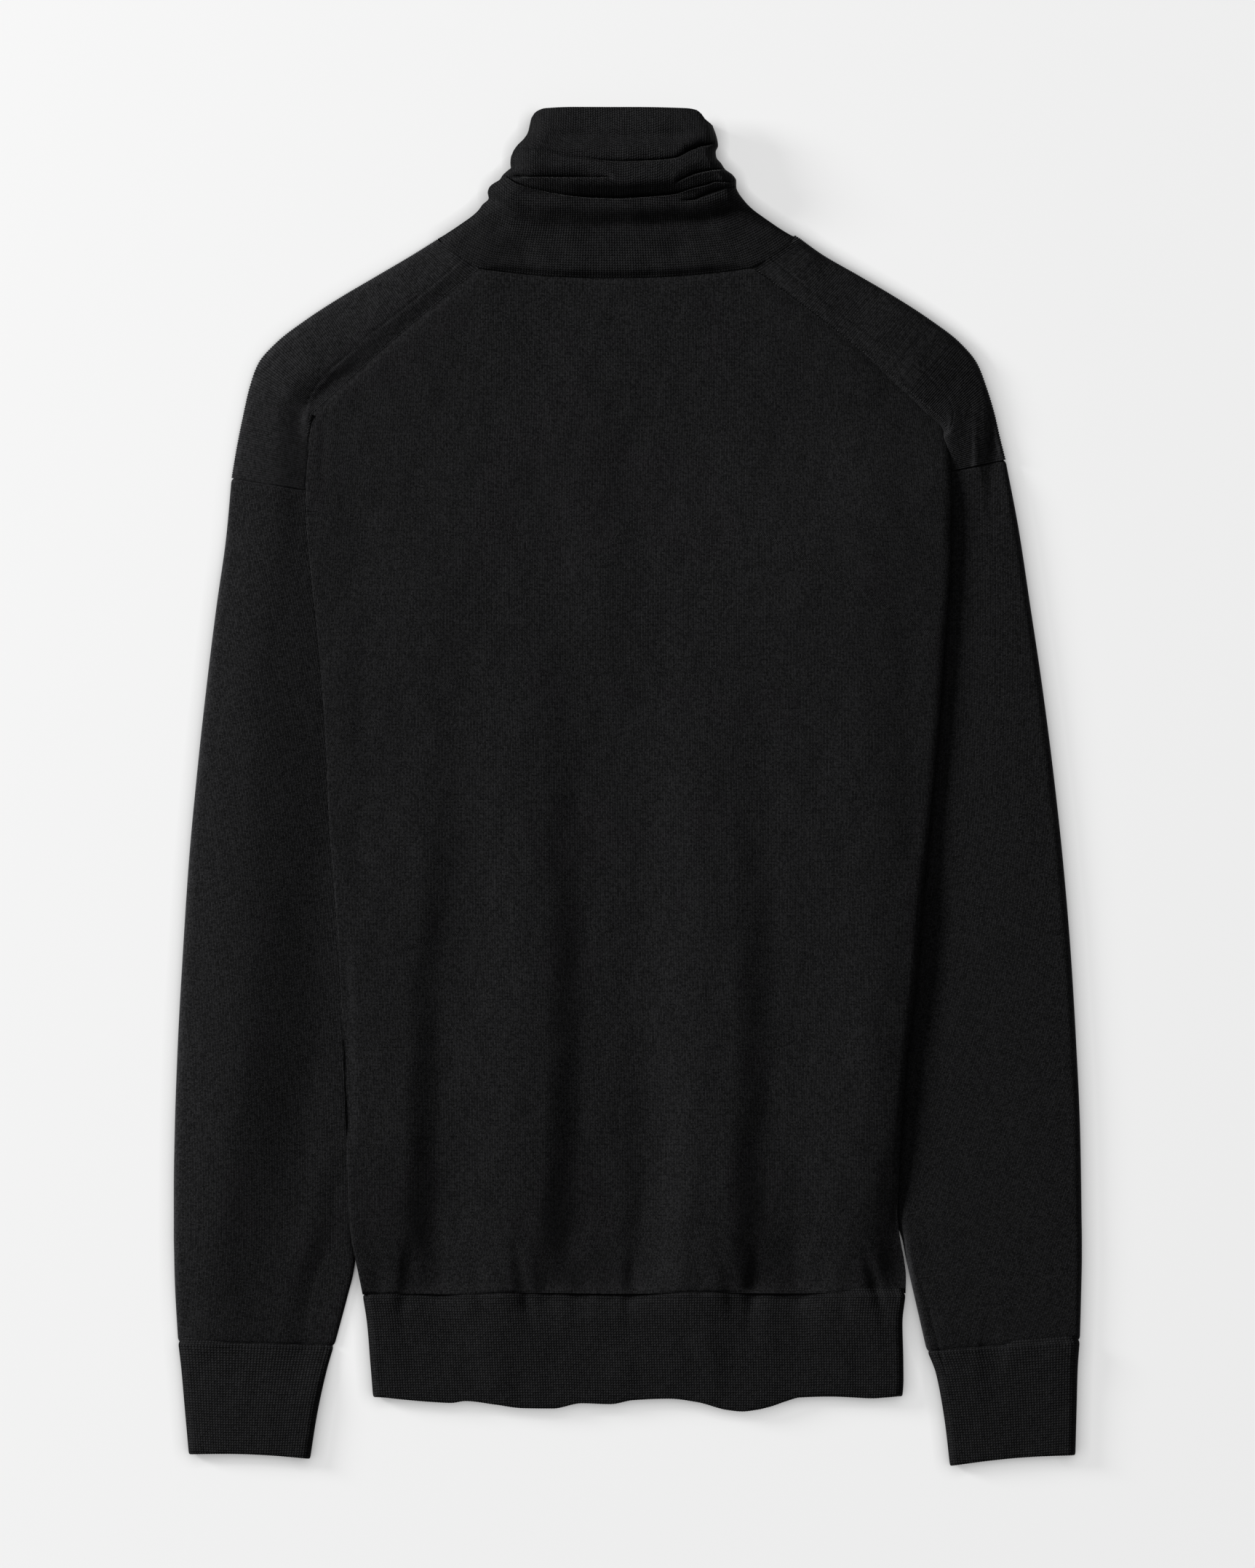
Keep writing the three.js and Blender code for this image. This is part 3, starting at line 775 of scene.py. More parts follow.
def lip_rows(end):
    """Rows of y and inset round an open lower edge: half a turn, then back inside the tube."""
    turn = np.radians(np.linspace(0, 180, 7)[1:])
    centre = end + CLOTH / 2
    y = centre - CLOTH / 2 * np.sin(turn)
    inset = CLOTH / 2 * (1 - np.cos(turn))
    back = centre + np.array([0.35, 1.0]) * LIP_DEPTH
    return np.concatenate([y, back]), np.concatenate([inset, [CLOTH, CLOTH]])


# Body

def body_panel(name, upper):
    """The back, or the front that lies under it. They meet at the side folds."""
    drop = NECK_BACK_DROP if upper else NECK_FRONT_DROP
    rows = 250 if upper else 90
    flat = 216 if upper else 60
    turns = 9 if upper else 6
    # Closer rows at the hem seam and at the top edge
    length = 560.0
    near = np.array([0, 0.35, 0.8, 1.4, 2.2]) / length
    v = np.concatenate([near, np.linspace(3.6 / length, 1 - 3.6 / length, rows), 1 - near[::-1]])
    v = v[:, None]
    y_left = mix(HEM_SEAM_Y, LEFT_CORNER[1], v)
    y_right = mix(HEM_SEAM_Y, RIGHT_CORNER[1], v)
    left = read(BODY_SIDES, "y", y_left, "left")
    right = read(BODY_SIDES, "y", y_right, "right")
    away, share = edge_steps(1.0, turns)
    between = np.linspace(0, 1, flat)[None, 1:-1]
    inner_left = left + LEFT_ROLL
    inner_right = right - ROLL
    x = np.hstack([
        left + LEFT_ROLL * away, mix(inner_left, inner_right, between), right - ROLL * away[::-1],
    ])
    share = np.concatenate([share, np.ones(flat - 2), share[::-1]])[None, :]
    x_start = np.clip(x, LEFT_CORNER[0], RIGHT_CORNER[0])
    bottom = hem_seam(x)
    top = top_outline(x_start, drop)
    y = mix(bottom, top, v)
    low = under_lift(x, y)
    # The side folds lie high on the left and low on the right
    middle = low + BODY_RISE * mix(0.95, 0.3, ease((x - left) / 90))
    # The cloth dips into the seams all round, most beside the neck
    to_edge = np.minimum((y - bottom), (top - y) * 0.78)
    beside_neck = ease((x - LEFT_NECK[0]) / 6) * ease((RIGHT_NECK[0] - x) / 6)
    at_hem = y - bottom < top - y
    sunk = np.where(at_hem, 0.9, mix(0.9, 1.1, beside_neck))
    spread = np.where(at_hem, 0.9, mix(2.6, 1.4, beside_neck))
    tuck = sunk * np.exp(-((to_edge / spread) ** 2))
    if upper:
        relief = body_relief(x, y) * ease(to_edge / 5 + 0.35)
        crown = RIGHT_CROWN * rounded((right - x) / RIGHT_CROWN_REACH)
        z = mix(middle, over_lift(x, y) + BODY_RISE - relief - crown, share) - tuck
    else:
        z = mix(middle + 0.5, low, share) + tuck
    points = np.stack([x, y, z], axis=-1)
    run = distances(points, 1)
    zero = np.take_along_axis(run, np.argmin(np.abs(x), axis=1)[:, None], axis=1)
    knit = knit_of((run - zero) / JERSEY_WALE, y / JERSEY_COURSE)
    cloth = Cloth()
    cloth.grid(points, knit, turned=not upper)
    return cloth.make(name, "body")


# Saddles

def saddle(name, side, tab, end_y, corner, neck, bulge, crown_height):
    """Shoulder piece folded over the shoulder edge. Its side is -1 on the left and 1 on the right."""
    index = np.arange(len(tab["outer_x"]))
    place = np.linspace(0, index[-1], 541)
    outer_x = smooth(index, tab["outer_x"], place)
    outer_y = smooth(index, tab["outer_y"], place)
    inner_x = smooth(index, tab["inner_x"], place)
    seam_y = shoulder_seam(tab["inner_x"], corner, neck, bulge)
    seam_y[-len(end_y):] = end_y
    inner_y = smooth(index, seam_y, place)
    groove = smooth(index, tab["groove"], place)[:, None]
    outer = np.stack([outer_x, outer_y], axis=-1)
    inner = np.stack([inner_x, inner_y], axis=-1)
    span = np.linalg.norm(inner - outer, axis=1)[:, None]
    inwards = (inner - outer) / span
    top = mix(BODY_RISE, SLEEVE_RISE, place / index[-1])[:, None]
    # Distances from the seam, from a strip tucked under the body to the shoulder edge
    near = np.array([-4.0, -1.2, -0.3, 0.4, 1.1, 2.0])[None, :]
    sunk = np.array([2.2, 0.5, 0.25, 0.12, 0.05, 0.0])
    flat = 29
    share = np.linspace(0, 1, flat + 1)[None, 1:]
    across = np.hstack([near + 0 * span, mix(near[0, -1], span - ROLL, share)])
    away, rise = edge_steps(ROLL, 9)
    from_outer = np.hstack([span - across, (away[::-1] + 0 * span)[:, 1:]])
    height = np.concatenate([np.ones(len(sunk) + flat), rise[::-1][1:]])[None, :]
    dip = np.concatenate([sunk, np.zeros(flat + len(rise) - 1)])[None, :]
    x = outer_x[:, None] + inwards[:, :1] * from_outer
    y = outer_y[:, None] + inwards[:, 1:] * from_outer
    # A narrow channel, the lower band between it and the seam, and the fall to the outer edge
    seam_away = span - from_outer
    channel = np.exp(-(((seam_away - groove) / 0.55) ** 2)) * ease(groove / 3)
    channel = channel * (0.8 + 0.16 * uneven(x, y, 24, 31))
    band = 1.3 * (1 - ease(seam_away / np.maximum(groove, 2.0))) * ease(groove / 3)
    crown = crown_height * rounded(from_outer / SADDLE_CROWN_REACH)
    crown = crown + 2.0 * (1 - ease(place))[:, None]
    # Sleeve folds fade towards the shoulder seam, but run on under the body below its corner
    beside = mix(ease((seam_away + 1) / 8), 1, ease(place - 8.2)[:, None])
    relief = sleeve_relief(x, y) * beside * ease(from_outer / 4)
    lowest = 2.2
    level = np.maximum(top - 0.6 * channel - band - crown - relief, lowest)
    edge = np.minimum(top / 2, 0.5 * level[:, -1:])
    z_top = mix(edge, level, height) - dip
    upper = np.stack([x, y, z_top], axis=-1)
    # The underside lies on the surface, and its end is tucked up under the body
    lower_away = np.linspace(1, 0, 12)[None, :] * (span + 3.5 - ROLL) + ROLL
    lower_from = np.hstack([(away + 0 * span)[:, 1:-1], lower_away[:, ::-1]])
    lower_share = np.concatenate([rise[1:-1], np.ones(12)])[None, :]
    x_low = outer_x[:, None] + inwards[:, :1] * lower_from
    y_low = outer_y[:, None] + inwards[:, 1:] * lower_from
    tucked = 1.5 * ease((lower_from - span + 0.6) / 1.2)
    z_low = mix(edge, 0 * top, lower_share) + tucked
    lower = np.stack([x_low, y_low, z_low], axis=-1)
    points = np.hstack([upper, lower])
    # Ridges run from the seam to the shoulder edge and round it
    v = distances(points, 1) / SADDLE_COURSE
    step = np.linalg.norm(np.diff(mix(outer, inner, 0.4), axis=0), axis=1)
    u = np.concatenate([[0], np.cumsum(step)])[:, None] / SADDLE_RIDGE
    ridge = SADDLE_DEPTH * 0.5 * np.cos(2 * math.pi * u)
    points = points + side * normals(points, False) * (ridge * ease(v / 3))[:, :, None]
    cloth = Cloth()
    # Light loops along the seam to the body, down to its corner
    seam = upper[(place > 1) & (place < 8.9), 3]
    lean = 0.35 if side < 0 else math.pi - 0.35
    stitches(cloth, spaced(seam, SEAM_STITCH) + [0, 0, 0.12], lean, 1.15, 0.55)
    cloth.grid(points, knit_of(u, v), turned=side > 0)
    return cloth.make(name, "saddle")


# Tubes: sleeves, cuffs and hem band

def ring_columns(left, right, rise, pitch, per_pitch):
    """Columns round a flattened tube at equal steps of cloth, with whole ribs on each side.

    Gives each column's part of the width and its share of the height, negative underneath, and
    the number of ribs on a side.
    """
    away, share = edge_steps(ROLL, 40)
    flat = np.linspace(left + ROLL, right - ROLL, 200)[1:-1]
    x = np.concatenate([left + away, flat, right - away[::-1]])
    share = np.concatenate([share, np.ones(len(flat)), share[::-1]])
    run = np.concatenate([[0], np.cumsum(np.hypot(np.diff(x), np.diff(share * rise / 2)))])
    count = max(4, int(round(run[-1] / pitch)))
    at = np.linspace(0, run[-1], count * per_pitch + 1)
    part = (np.interp(at, run, x) - left) / (right - left)
    share = np.interp(at, run, share)
    part = np.concatenate([part, part[::-1][1:-1]])
    share = np.concatenate([share, -share[::-1][1:-1]])
    return part[None, :], share[None, :], count


def ring_run(points):
    """Running length down a tube, with its first column again at the end."""
    run = distances(points, 0)
    return np.hstack([run, run[:, :1]])


def ribbed_tube(name, points, inset, loops, long, wide):
    """Tube with ribs that fade inside its open end, and linked loops on ribs along its seam."""
    u = np.arange(points.shape[1] + 1)[None, :] / RIB_STEPS
    knit = knit_of(u, ring_run(points) / RIB_COURSE)
    amount = RIB_DEPTH * 0.5 * np.cos(2 * math.pi * u[:, :-1])
    fade = ease((3.2 - inset) / 2.4)
    points = points - normals(points, True) * amount[:, :, None] * fade[:, :, None]
    cloth = Cloth()
    cloth.grid(points[::-1], knit[::-1], around=True)
    stitches(cloth, points[4, loops] + [0, 0.15, 0.0], math.pi / 2, long, wide)
    return cloth.make(name, "rib")


def limb_points(tab, rise, puff, crowns, rows, inset, relief, ring, arc):
    """Sleeve or cuff, seen from above as a strip between an outer and an inner edge."""
    part, share, _ = ring
    row_outer = read(tab, "y", rows, "outer")
    row_inner = read(tab, "y", rows, "inner")
    row_left = np.minimum(row_outer, row_inner) + inset
    row_right = np.maximum(row_outer, row_inner) - inset
    x = mix(row_left, row_right, part)
    slope = np.abs((x - row_outer) / (row_inner - row_outer))
    y = rows - read(tab, "y", rows, "drop") * slope
    y = y + 1.4 * np.sin(math.pi * np.clip(slope, 0, 1)) * arc
    crown = crowns[0] * rounded((x - row_left) / LIMB_CROWN_REACH)
    crown = crown + crowns[1] * rounded((row_right - x) / LIMB_CROWN_REACH)
    down = relief(x, y) + crown
    high = np.maximum(rise + puff - inset - down, np.maximum(2.6 - inset, inset + 0.5))
    middle = np.minimum(rise / 2, 0.52 * high)
    top = mix(middle, high, share)
    bottom = mix(middle, np.minimum(inset, middle - 0.1) + 0 * x, -share)
    return np.stack([x, y, np.where(share >= 0, top, bottom)], axis=-1)


def limb_ring(tab, rise, pitch, per_pitch):
    """Columns of a sleeve or cuff, worked out half-way down it."""
    middle_y = (tab["y"][0] + tab["y"][-1]) / 2
    outer = float(read(tab, "y", middle_y, "outer"))
    inner = float(read(tab, "y", middle_y, "inner"))
    return ring_columns(min(outer, inner), max(outer, inner), rise, pitch, per_pitch)


def sleeve(name, tab, crowns, puff):
    """Sleeve with crowns at its left and right, and a puff of air inside."""
    first = tab["y"][0]
    last = tab["y"][-1]
    body = np.linspace(first - 2.2, last + 2.2, 168)
    rows = np.concatenate([
        [first + 4, first + 0.6, first - 0.2, first - 1.0],
        body,
        [last + 1.0, last + 0.2, last - 0.4, last - 3],
    ])[:, None]
    inset = np.concatenate([
        [1.9, 1.4, 0.8, 0.25],
        np.zeros(len(body)),
        [0.25, 0.8, 1.3, 1.6],
    ])[:, None]

    def relief(x, y):
        # The body presses the part beneath it flat
        edge = read(BODY_SIDES, "y", y, "left")
        pressed = 3.4 * ease((x - edge + 6) / 12) * (x < 0)
        pressed = pressed * read(BODY_SIDES, "y", y, "lift_left")
        edge = read(BODY_SIDES, "y", y, "right")
        lift = read(BODY_SIDES, "y", y, "lift_right")
        low = 7.0 * (1 - lift) * ease((edge - x + 6) / 12) * (x > 0) * (y < 0)
        return np.maximum(np.maximum(sleeve_relief(x, y), pressed), low)

    full = puff * ease((first - rows) / 90) * ease((rows - last + 10) / 80)
    ring = limb_ring(tab, SLEEVE_RISE, SLEEVE_STEP, 1)
    points = limb_points(tab, SLEEVE_RISE, full, crowns, rows, inset, relief, ring, 0)
    across = distances(np.hstack([points, points[:, :1]]), 1)
    knit = knit_of(across / JERSEY_WALE, ring_run(points) / JERSEY_COURSE)
    cloth = Cloth()
    cloth.grid(points[::-1], knit[::-1], around=True)
    return cloth.make(name, "jersey")


def cuff(name, tab, crowns):
    """Ribbed cuff whose lower edge rises a little between its sides."""
    first = tab["y"][0]
    last = tab["y"][-1]
    body = np.linspace(first - 2.4, last + 1.6, 28)
    lip_y, lip_inset = lip_rows(last)
    rows = np.concatenate([[first + 3, first + 0.5, first - 0.3, first - 1.1], body, lip_y])[:, None]
    inset = np.concatenate([[1.5, 1.1, 0.6, 0.2], np.zeros(len(body)), lip_inset])[:, None]

    def relief(x, y):
        fade = 1 - ease((first - y) / 45)
        return sleeve_relief(x, y) * fade + 0.12 * uneven(x, y, 18, 41)

    ring = limb_ring(tab, CUFF_RISE, CUFF_RIB, RIB_STEPS)
    arc = ease((first - rows) / 40)
    points = limb_points(tab, CUFF_RISE, 0.3, crowns, rows, inset, relief, ring, arc)
    loops = slice(RIB_STEPS, ring[2] * RIB_STEPS - 2, RIB_STEPS)
    return ribbed_tube(name, points, inset, loops, 0.7, 0.4)


def hem_band():
    """Ribbed band below the body, a flattened tube with a gently scalloped lower edge."""
    left = float(np.mean(HEM_SIDES["left"]))
    right = float(np.mean(HEM_SIDES["right"]))
    part, share, count = ring_columns(left, right, BODY_RISE, HEM_RIB, RIB_STEPS)
    lip_y, lip_inset = lip_rows(HEM_END_Y)
    body = np.linspace(HEM_SEAM_Y - 2.6, HEM_END_Y + 1.4, 24)
    start = HEM_SEAM_Y + np.array([3, 0.4, -0.4, -1.2])
    rows = np.concatenate([start, body, lip_y])[:, None]
    inset = np.concatenate([[1.6, 1.2, 0.7, 0.2], np.zeros(len(body)), lip_inset])[:, None]
    row_left = read(HEM_SIDES, "y", rows, "left") + inset
    row_right = read(HEM_SIDES, "y", rows, "right") - inset
    x = mix(row_left, row_right, part)
    # The lower edge follows its own waves, and the seam its own line, with the ribs between them
    down = np.clip((HEM_SEAM_Y - rows) / (HEM_SEAM_Y - HEM_END_Y), 0, 1)
    reach = np.where(share >= 0, 1.0, 0.6)
    sag = (HEM_END_Y - read(HEM_EDGE, "x", x, "y")) * reach
    seam_shift = (hem_seam(x) - HEM_SEAM_Y) * (1 - down)
    y = rows + seam_shift - sag * down ** 1.5
    relief = body_relief(x, y) * ease(np.minimum(x - row_left, row_right - x) / 6)
    relief = relief * mix(1, 0.4, ease(down * 4)) + 0.2 * uneven(x, y, 30, 52)
    high = np.maximum(BODY_RISE + 0.1 - inset - relief, BODY_RISE / 2 + 0.3)
    z = np.where(
        share >= 0, mix(BODY_RISE / 2, high, share), mix(BODY_RISE / 2, inset + 0 * x, -share)
    )
    points = np.stack([x, y, z], axis=-1)
    loops = slice(RIB_STEPS + 2, (count - 1) * RIB_STEPS, RIB_STEPS)
    return ribbed_tube("hem_band_rib", points, inset, loops, 0.9, 0.5)


# Collar

def collar_surface(along, part, upper):
    """Places on the collar's upper or lower side, for grids of along and part across.

    Gives x, y, the share of the height that the rolled sides leave, and the height.
    """
    side = COLLAR_SIDES
    y_side = mix(side["y"][0], side["y"][-1], along)
    left = read(side, "y", y_side, "left")
    right = read(side, "y", y_side, "right")
    x = mix(left, right, part)
    base_left = side["left"][0]
    base_right = side["right"][0]
    x_base = mix(base_left, base_right, part)
    drop = NECK_BACK_DROP if upper else NECK_FRONT_DROP
    t_left = np.clip((x_base - base_left) / (LEFT_NECK[0] - base_left), 0, 1)
    t_right = np.clip((base_right - x_base) / (base_right - RIGHT_NECK[0]), 0, 1)
    hollow_left = 2.0 * np.sin(math.pi * t_left)
    hollow_right = 1.6 * np.sin(math.pi * t_right)
    y_left = mix(side["y"][0], LEFT_NECK[1], t_left) - hollow_left
    y_right = mix(side["y"][0], RIGHT_NECK[1], t_right) - hollow_right
    y_mid = neck_seam(x_base, drop)
    seam = np.where(x_base < LEFT_NECK[0], y_left, np.where(x_base > RIGHT_NECK[0], y_right, y_mid))
    x_rim = mix(side["left"][-1], side["right"][-1], part)
    rim = read(COLLAR_RIM, "x", x_rim, "y")
    y = mix(seam, rim, along)
    upper_width = mix(15.0, 7.0, ease((part - 0.5) * 4))
    width = mix(ROLL + 1, upper_width, ease((along - 0.2) * 4))
    edge = np.minimum(x - left, right - x)
    rest = 1 - np.clip(edge / width, 0, 1)
    share = np.sqrt(1 - rest * rest)
    height = read(COLLAR_HEIGHTS, "along", along, "height")
    return x, y, share, height


def collar_creases(x, y):
    """Depth of the creases and the pull that lays each lip over its crease."""
    depth = np.zeros_like(x)
    pull = np.zeros_like(x)
    for item in COLLAR_CREASES:
        path = item["path"]
        amount = read(path, "x", x, "depth")
        start = path["x"][0]
        end = path["x"][-1]
        inside = ease((x - start + 6) / 10) * ease((end + 6 - x) / 10)
        away = y - read(path, "x", x, "y")
        # A round roll north of the crease, and a steeper rise south of it
        rest = 1 - np.clip(away / item["north"], 0, 1)
        roll = 1 - np.sqrt(1 - rest * rest)
        fall = np.where(away < 0, np.exp(-((away / item["south"]) ** 2)), roll)
        depth = depth + amount * inside * fall
        lip = np.exp(-(((away - 0.9) / 2.0) ** 2))
        pull = pull + item["overhang"] * np.clip(amount / 5.0, 0, 1.2) * inside * lip
    return depth, pull


def soft_bands(x, y):
    """Broad soft troughs: below the lowest roll, and across the top panel."""
    lower_line = 350.6 - 21.0 + 0.0006 * (x - 2) ** 2
    lower = 1.8 * np.exp(-(((y - lower_line) / 4.6) ** 2))
    lower = lower * ease((x + 40) / 50) * ease((66 - x) / 24)
    top_line = 379.4 + 0.0012 * (x + 5) ** 2
    upper = 0.9 * np.exp(-(((y - top_line) / 2.6) ** 2))
    upper = upper * ease((x + 52) / 16) * ease((44 - x) / 16)
    return lower + upper


def collar():
    """Turtleneck lying flattened, its upper side crumpled into rolls, with its rim open."""
    columns = 560
    # Closer rows where the cloth creases
    along = np.concatenate([
        [0.004, 0.008, 0.016, 0.026],
        np.linspace(0.036, 0.4, 30, endpoint=False),
        np.linspace(0.4, 0.74, 90, endpoint=False),
        np.linspace(0.74, 0.985, 18),
    ])[:, None]
    # Closer columns on the rolled sides
    even = np.linspace(0, 1, columns + 1)
    part = np.clip(even - 0.012 * np.sin(2 * math.pi * even), 0, 1)[None, :]
    x, y, share, height = collar_surface(along, part, True)
    depth, pull = collar_creases(x, y)
    level = height - depth - soft_bands(x, y) + 0.25 * uneven(x, y, 24, 61)
    over_neck = ease((x - LEFT_NECK[0]) / 24) * ease((RIGHT_NECK[0] - x) / 24)
    seam_dip = mix(0.5, 3.0, over_neck) * np.exp(-((along / mix(0.012, 0.034, over_neck)) ** 2))
    z = mix(height / 2, np.maximum(level, height * 0.36 + 0.5), share) - seam_dip
    points = np.stack([x, y - pull * share, z], axis=-1)

    # Ribs fan out towards the neck seam
    fan = 1 + 0.13 * ease((338 - y) / 42)
    u = (x - NECK_CENTRE_X) / (COLLAR_RIB * fan) + 0.35 * uneven(x, y, 60, 62)
    run = distances(points, 0)
    ridge = np.cos(2 * math.pi * u)
    steep = share ** 0.5
    points = points + normals(points, False) * (RIB_DEPTH * 0.5 * ridge * steep)[:, :, None]
    cloth = Cloth()
    cloth.grid(points, knit_of(u, run / RIB_COURSE))

    # Rim: half a turn, then back inside
    last = points[-1]
    thick = CLOTH + 0.4
    inside = 22.0
    turn = np.radians(np.linspace(0, 180, 8))[:, None]
    ring_y = last[None, :, 1] + thick / 2 * np.sin(turn)
    ring_z = last[None, :, 2] - thick / 2 * (1 - np.cos(turn))
    squeeze = (thick * (1 - np.cos(turn)) / 2) * np.sign(-last[None, :, 0])
    ring_x = last[None, :, 0] + squeeze * (1 - share[-1])[None, :]
    back = np.linspace(0, 1, 6)[1:, None]
    ring_x = np.vstack([ring_x, ring_x[-1:] + 0 * back])
    ring_y = np.vstack([ring_y, ring_y[-1:] - inside * back])
    ring_z = np.vstack([ring_z, np.maximum(ring_z[-1:] - 0.6 * back, 6.4)])
    rim = np.stack([ring_x, ring_y, ring_z], axis=-1)
    cloth.grid(rim, knit_of(u[-1:], (run[-1:] + distances(rim, 0)) / RIB_COURSE))

    # Underside, from the front neck seam to the rim
    part = np.concatenate([
        np.linspace(0, 0.12, 12),
        np.linspace(0.12, 0.88, 130)[1:-1],
        np.linspace(0.88, 1, 12),
    ])[None, :]
    along = np.linspace(0, 0.985, 56)[:, None]
    x, y, share, height = collar_surface(along, part, False)
    z = mix(height / 2, 0 * height, share) + 1.4 * np.exp(-((along / 0.012) ** 2))
    z = z + 0.4 * (1 - share)
    points = np.stack([x, y, z], axis=-1)
    knit = knit_of((x - NECK_CENTRE_X) / COLLAR_RIB, distances(points, 0) / RIB_COURSE)
    cloth.grid(points, knit, turned=True)
    return cloth.make("collar_rib", "rib")


# Materials

class Nodes:
    """Short spellings for the nodes that a knit is made of."""

    def __init__(self, material):
        material.use_nodes = True
        self.tree = material.node_tree
        self.tree.nodes.clear()

    def add(self, kind, inputs=None, **settings):
        """A node with its settings. Its inputs are values, or outputs of other nodes."""
        node = self.tree.nodes.new(kind)
        for key, value in settings.items():
            setattr(node, key, value)
        for key, value in (inputs or {}).items():
            if isinstance(value, bpy.types.NodeSocket):
                self.tree.links.new(value, node.inputs[key])
            elif value is not None:
                node.inputs[key].default_value = value
        return node

    def math(self, operation, first, second=None, third=None):
        inputs = {0: first, 1: second, 2: third}
        return self.add("ShaderNodeMath", inputs, operation=operation).outputs[0]

    def wave(self, phase):
        """Half a cosine wave, from 0 to 1, once for each unit of phase."""
        turned = self.math("MULTIPLY", phase, 2 * math.pi)
        return self.math("MULTIPLY_ADD", self.math("COSINE", turned), 0.5, 0.5)

    def noise(self, scale, detail, roughness, vector):
        inputs = {"Scale": scale, "Detail": detail, "Roughness": roughness, "Vector": vector}
        return self.add("ShaderNodeTexNoise", inputs).outputs["Fac"]

    def shade(self, inputs):
        shader = self.add("ShaderNodeBsdfPrincipled", inputs)
        self.add("ShaderNodeOutputMaterial", {0: shader.outputs[0]})


DARK = (0.0008, 0.0008, 0.0009)
LIGHT = (0.0205, 0.0205, 0.0215)


def knit_material(name, base, share, painted_light, ribbed):
    """Matt black knit: stitches in the knit coordinates, and yarn fuzz over them.

    The tone runs from DARK at 0 to LIGHT at 1: base in the gaps, share more on the stitches, which
    paints shade between them, and on steep cloth a painted sheen, turned to painted shade when
    negative.
    """
    material = bpy.data.materials.new(name)
    n = Nodes(material)
    uv = n.add("ShaderNodeUVMap", uv_map="knit")
    u, v, _ = n.add("ShaderNodeSeparateXYZ", {0: uv.outputs["UV"]}).outputs
    position = n.add("ShaderNodeTexCoord").outputs["Object"]
    wobble = n.noise(900.0, 1.0, 0.5, position)
    u = n.math("MULTIPLY_ADD", wobble, 0.22, u)
    v = n.math("MULTIPLY_ADD", wobble, 0.3, v)
    # Ridges at whole u, with one rounded stitch after another along them
    column = n.math("ABSOLUTE", n.math("SUBTRACT", n.math("FRACT", u), 0.5))
    ridge = n.wave(u)
    stitch = n.wave(n.math("MULTIPLY_ADD", column, 0.6, v))
    if ribbed:
        height = n.math("MULTIPLY", n.math("MULTIPLY_ADD", ridge, 0.34, 0.6),
                        n.math("MULTIPLY_ADD", stitch, 0.85, 0.15))
        distance = 0.4
    else:
        height = n.math("MULTIPLY", n.math("MULTIPLY_ADD", ridge, 0.75, 0.2),
                        n.math("MULTIPLY_ADD", stitch, 0.6, 0.4))
        distance = 0.3
    fuzz = n.noise(1700.0, 2.0, 0.8, position)
    cloud = n.noise(240.0, 4.0, 0.65, position)
    # Each stitch has a slightly different tone
    cell = {0: n.math("FLOOR", n.math("ADD", u, 0.5)), 1: n.math("FLOOR", v)}
    cell = n.add("ShaderNodeCombineXYZ", cell).outputs[0]
    chance = n.add("ShaderNodeTexWhiteNoise", {"Vector": cell}, noise_dimensions="2D")
    own = n.math("SUBTRACT", chance.outputs["Value"], 0.5)
    own = n.math("MULTIPLY", own, 0.35 if ribbed else 0.75)
    # Steep sides get painted light in their tone, and show less of the stitches
    normal = n.add("ShaderNodeNewGeometry").outputs["Normal"]
    level = n.math("ABSOLUTE", n.add("ShaderNodeSeparateXYZ", {0: normal}).outputs[2])
    steep = n.math("POWER", n.math("SUBTRACT", 1.0, level), 1.5)
    grain = n.math("MULTIPLY_ADD", n.math("SUBTRACT", fuzz, 0.5), 2.4, own)
    total = n.math("MULTIPLY_ADD", grain, 0.35, height)
    bump = n.add("ShaderNodeBump", {
        "Strength": n.math("MULTIPLY", level, 0.8),
        "Distance": distance * MM,
        "Height": total,
    })
    # Lighter stitch tops and darker gaps: painted shade between the stitches, on top of the bump
    tone = n.math("MULTIPLY_ADD", height, share, base)
    tone = n.math("MULTIPLY_ADD", grain, 0.55, tone)
    tone = n.math("MULTIPLY_ADD", n.math("SUBTRACT", cloud, 0.5), 0.05, tone)
    # Painted light on steep sides: painted sheen for a positive amount, painted shade for a negative
    # one
    tone = n.math("MULTIPLY_ADD", steep, painted_light, tone)
    ramp = {0: tone, 6: (*DARK, 1), 7: (*LIGHT, 1)}
    n.shade({
        "Base Color": n.add("ShaderNodeMix", ramp, data_type="RGBA").outputs[2],
        "Normal": bump.outputs["Normal"],
        "Roughness": n.math("MULTIPLY_ADD", fuzz, 0.12, 0.84),
        "Specular IOR Level": 0.06,
        "Sheen Weight": 0.12,
        "Sheen Roughness": 0.25,
    })
    return material


# Painted light on steep sides: painted sheen on the sleeves and saddles, painted shade on the body
# and ribbed pieces
MATERIALS = {
    "body": knit_material("body_knit", 0.1, 0.6, -1.2, False),
    "jersey": knit_material("jersey_knit", 0.12, 0.61, 0.8, False),
    "saddle": knit_material("saddle_knit", 0.15, 0.65, 1.0, False),
    "rib": knit_material("rib_knit", 0.06, 0.66, -1.0, True),
}


# Pieces

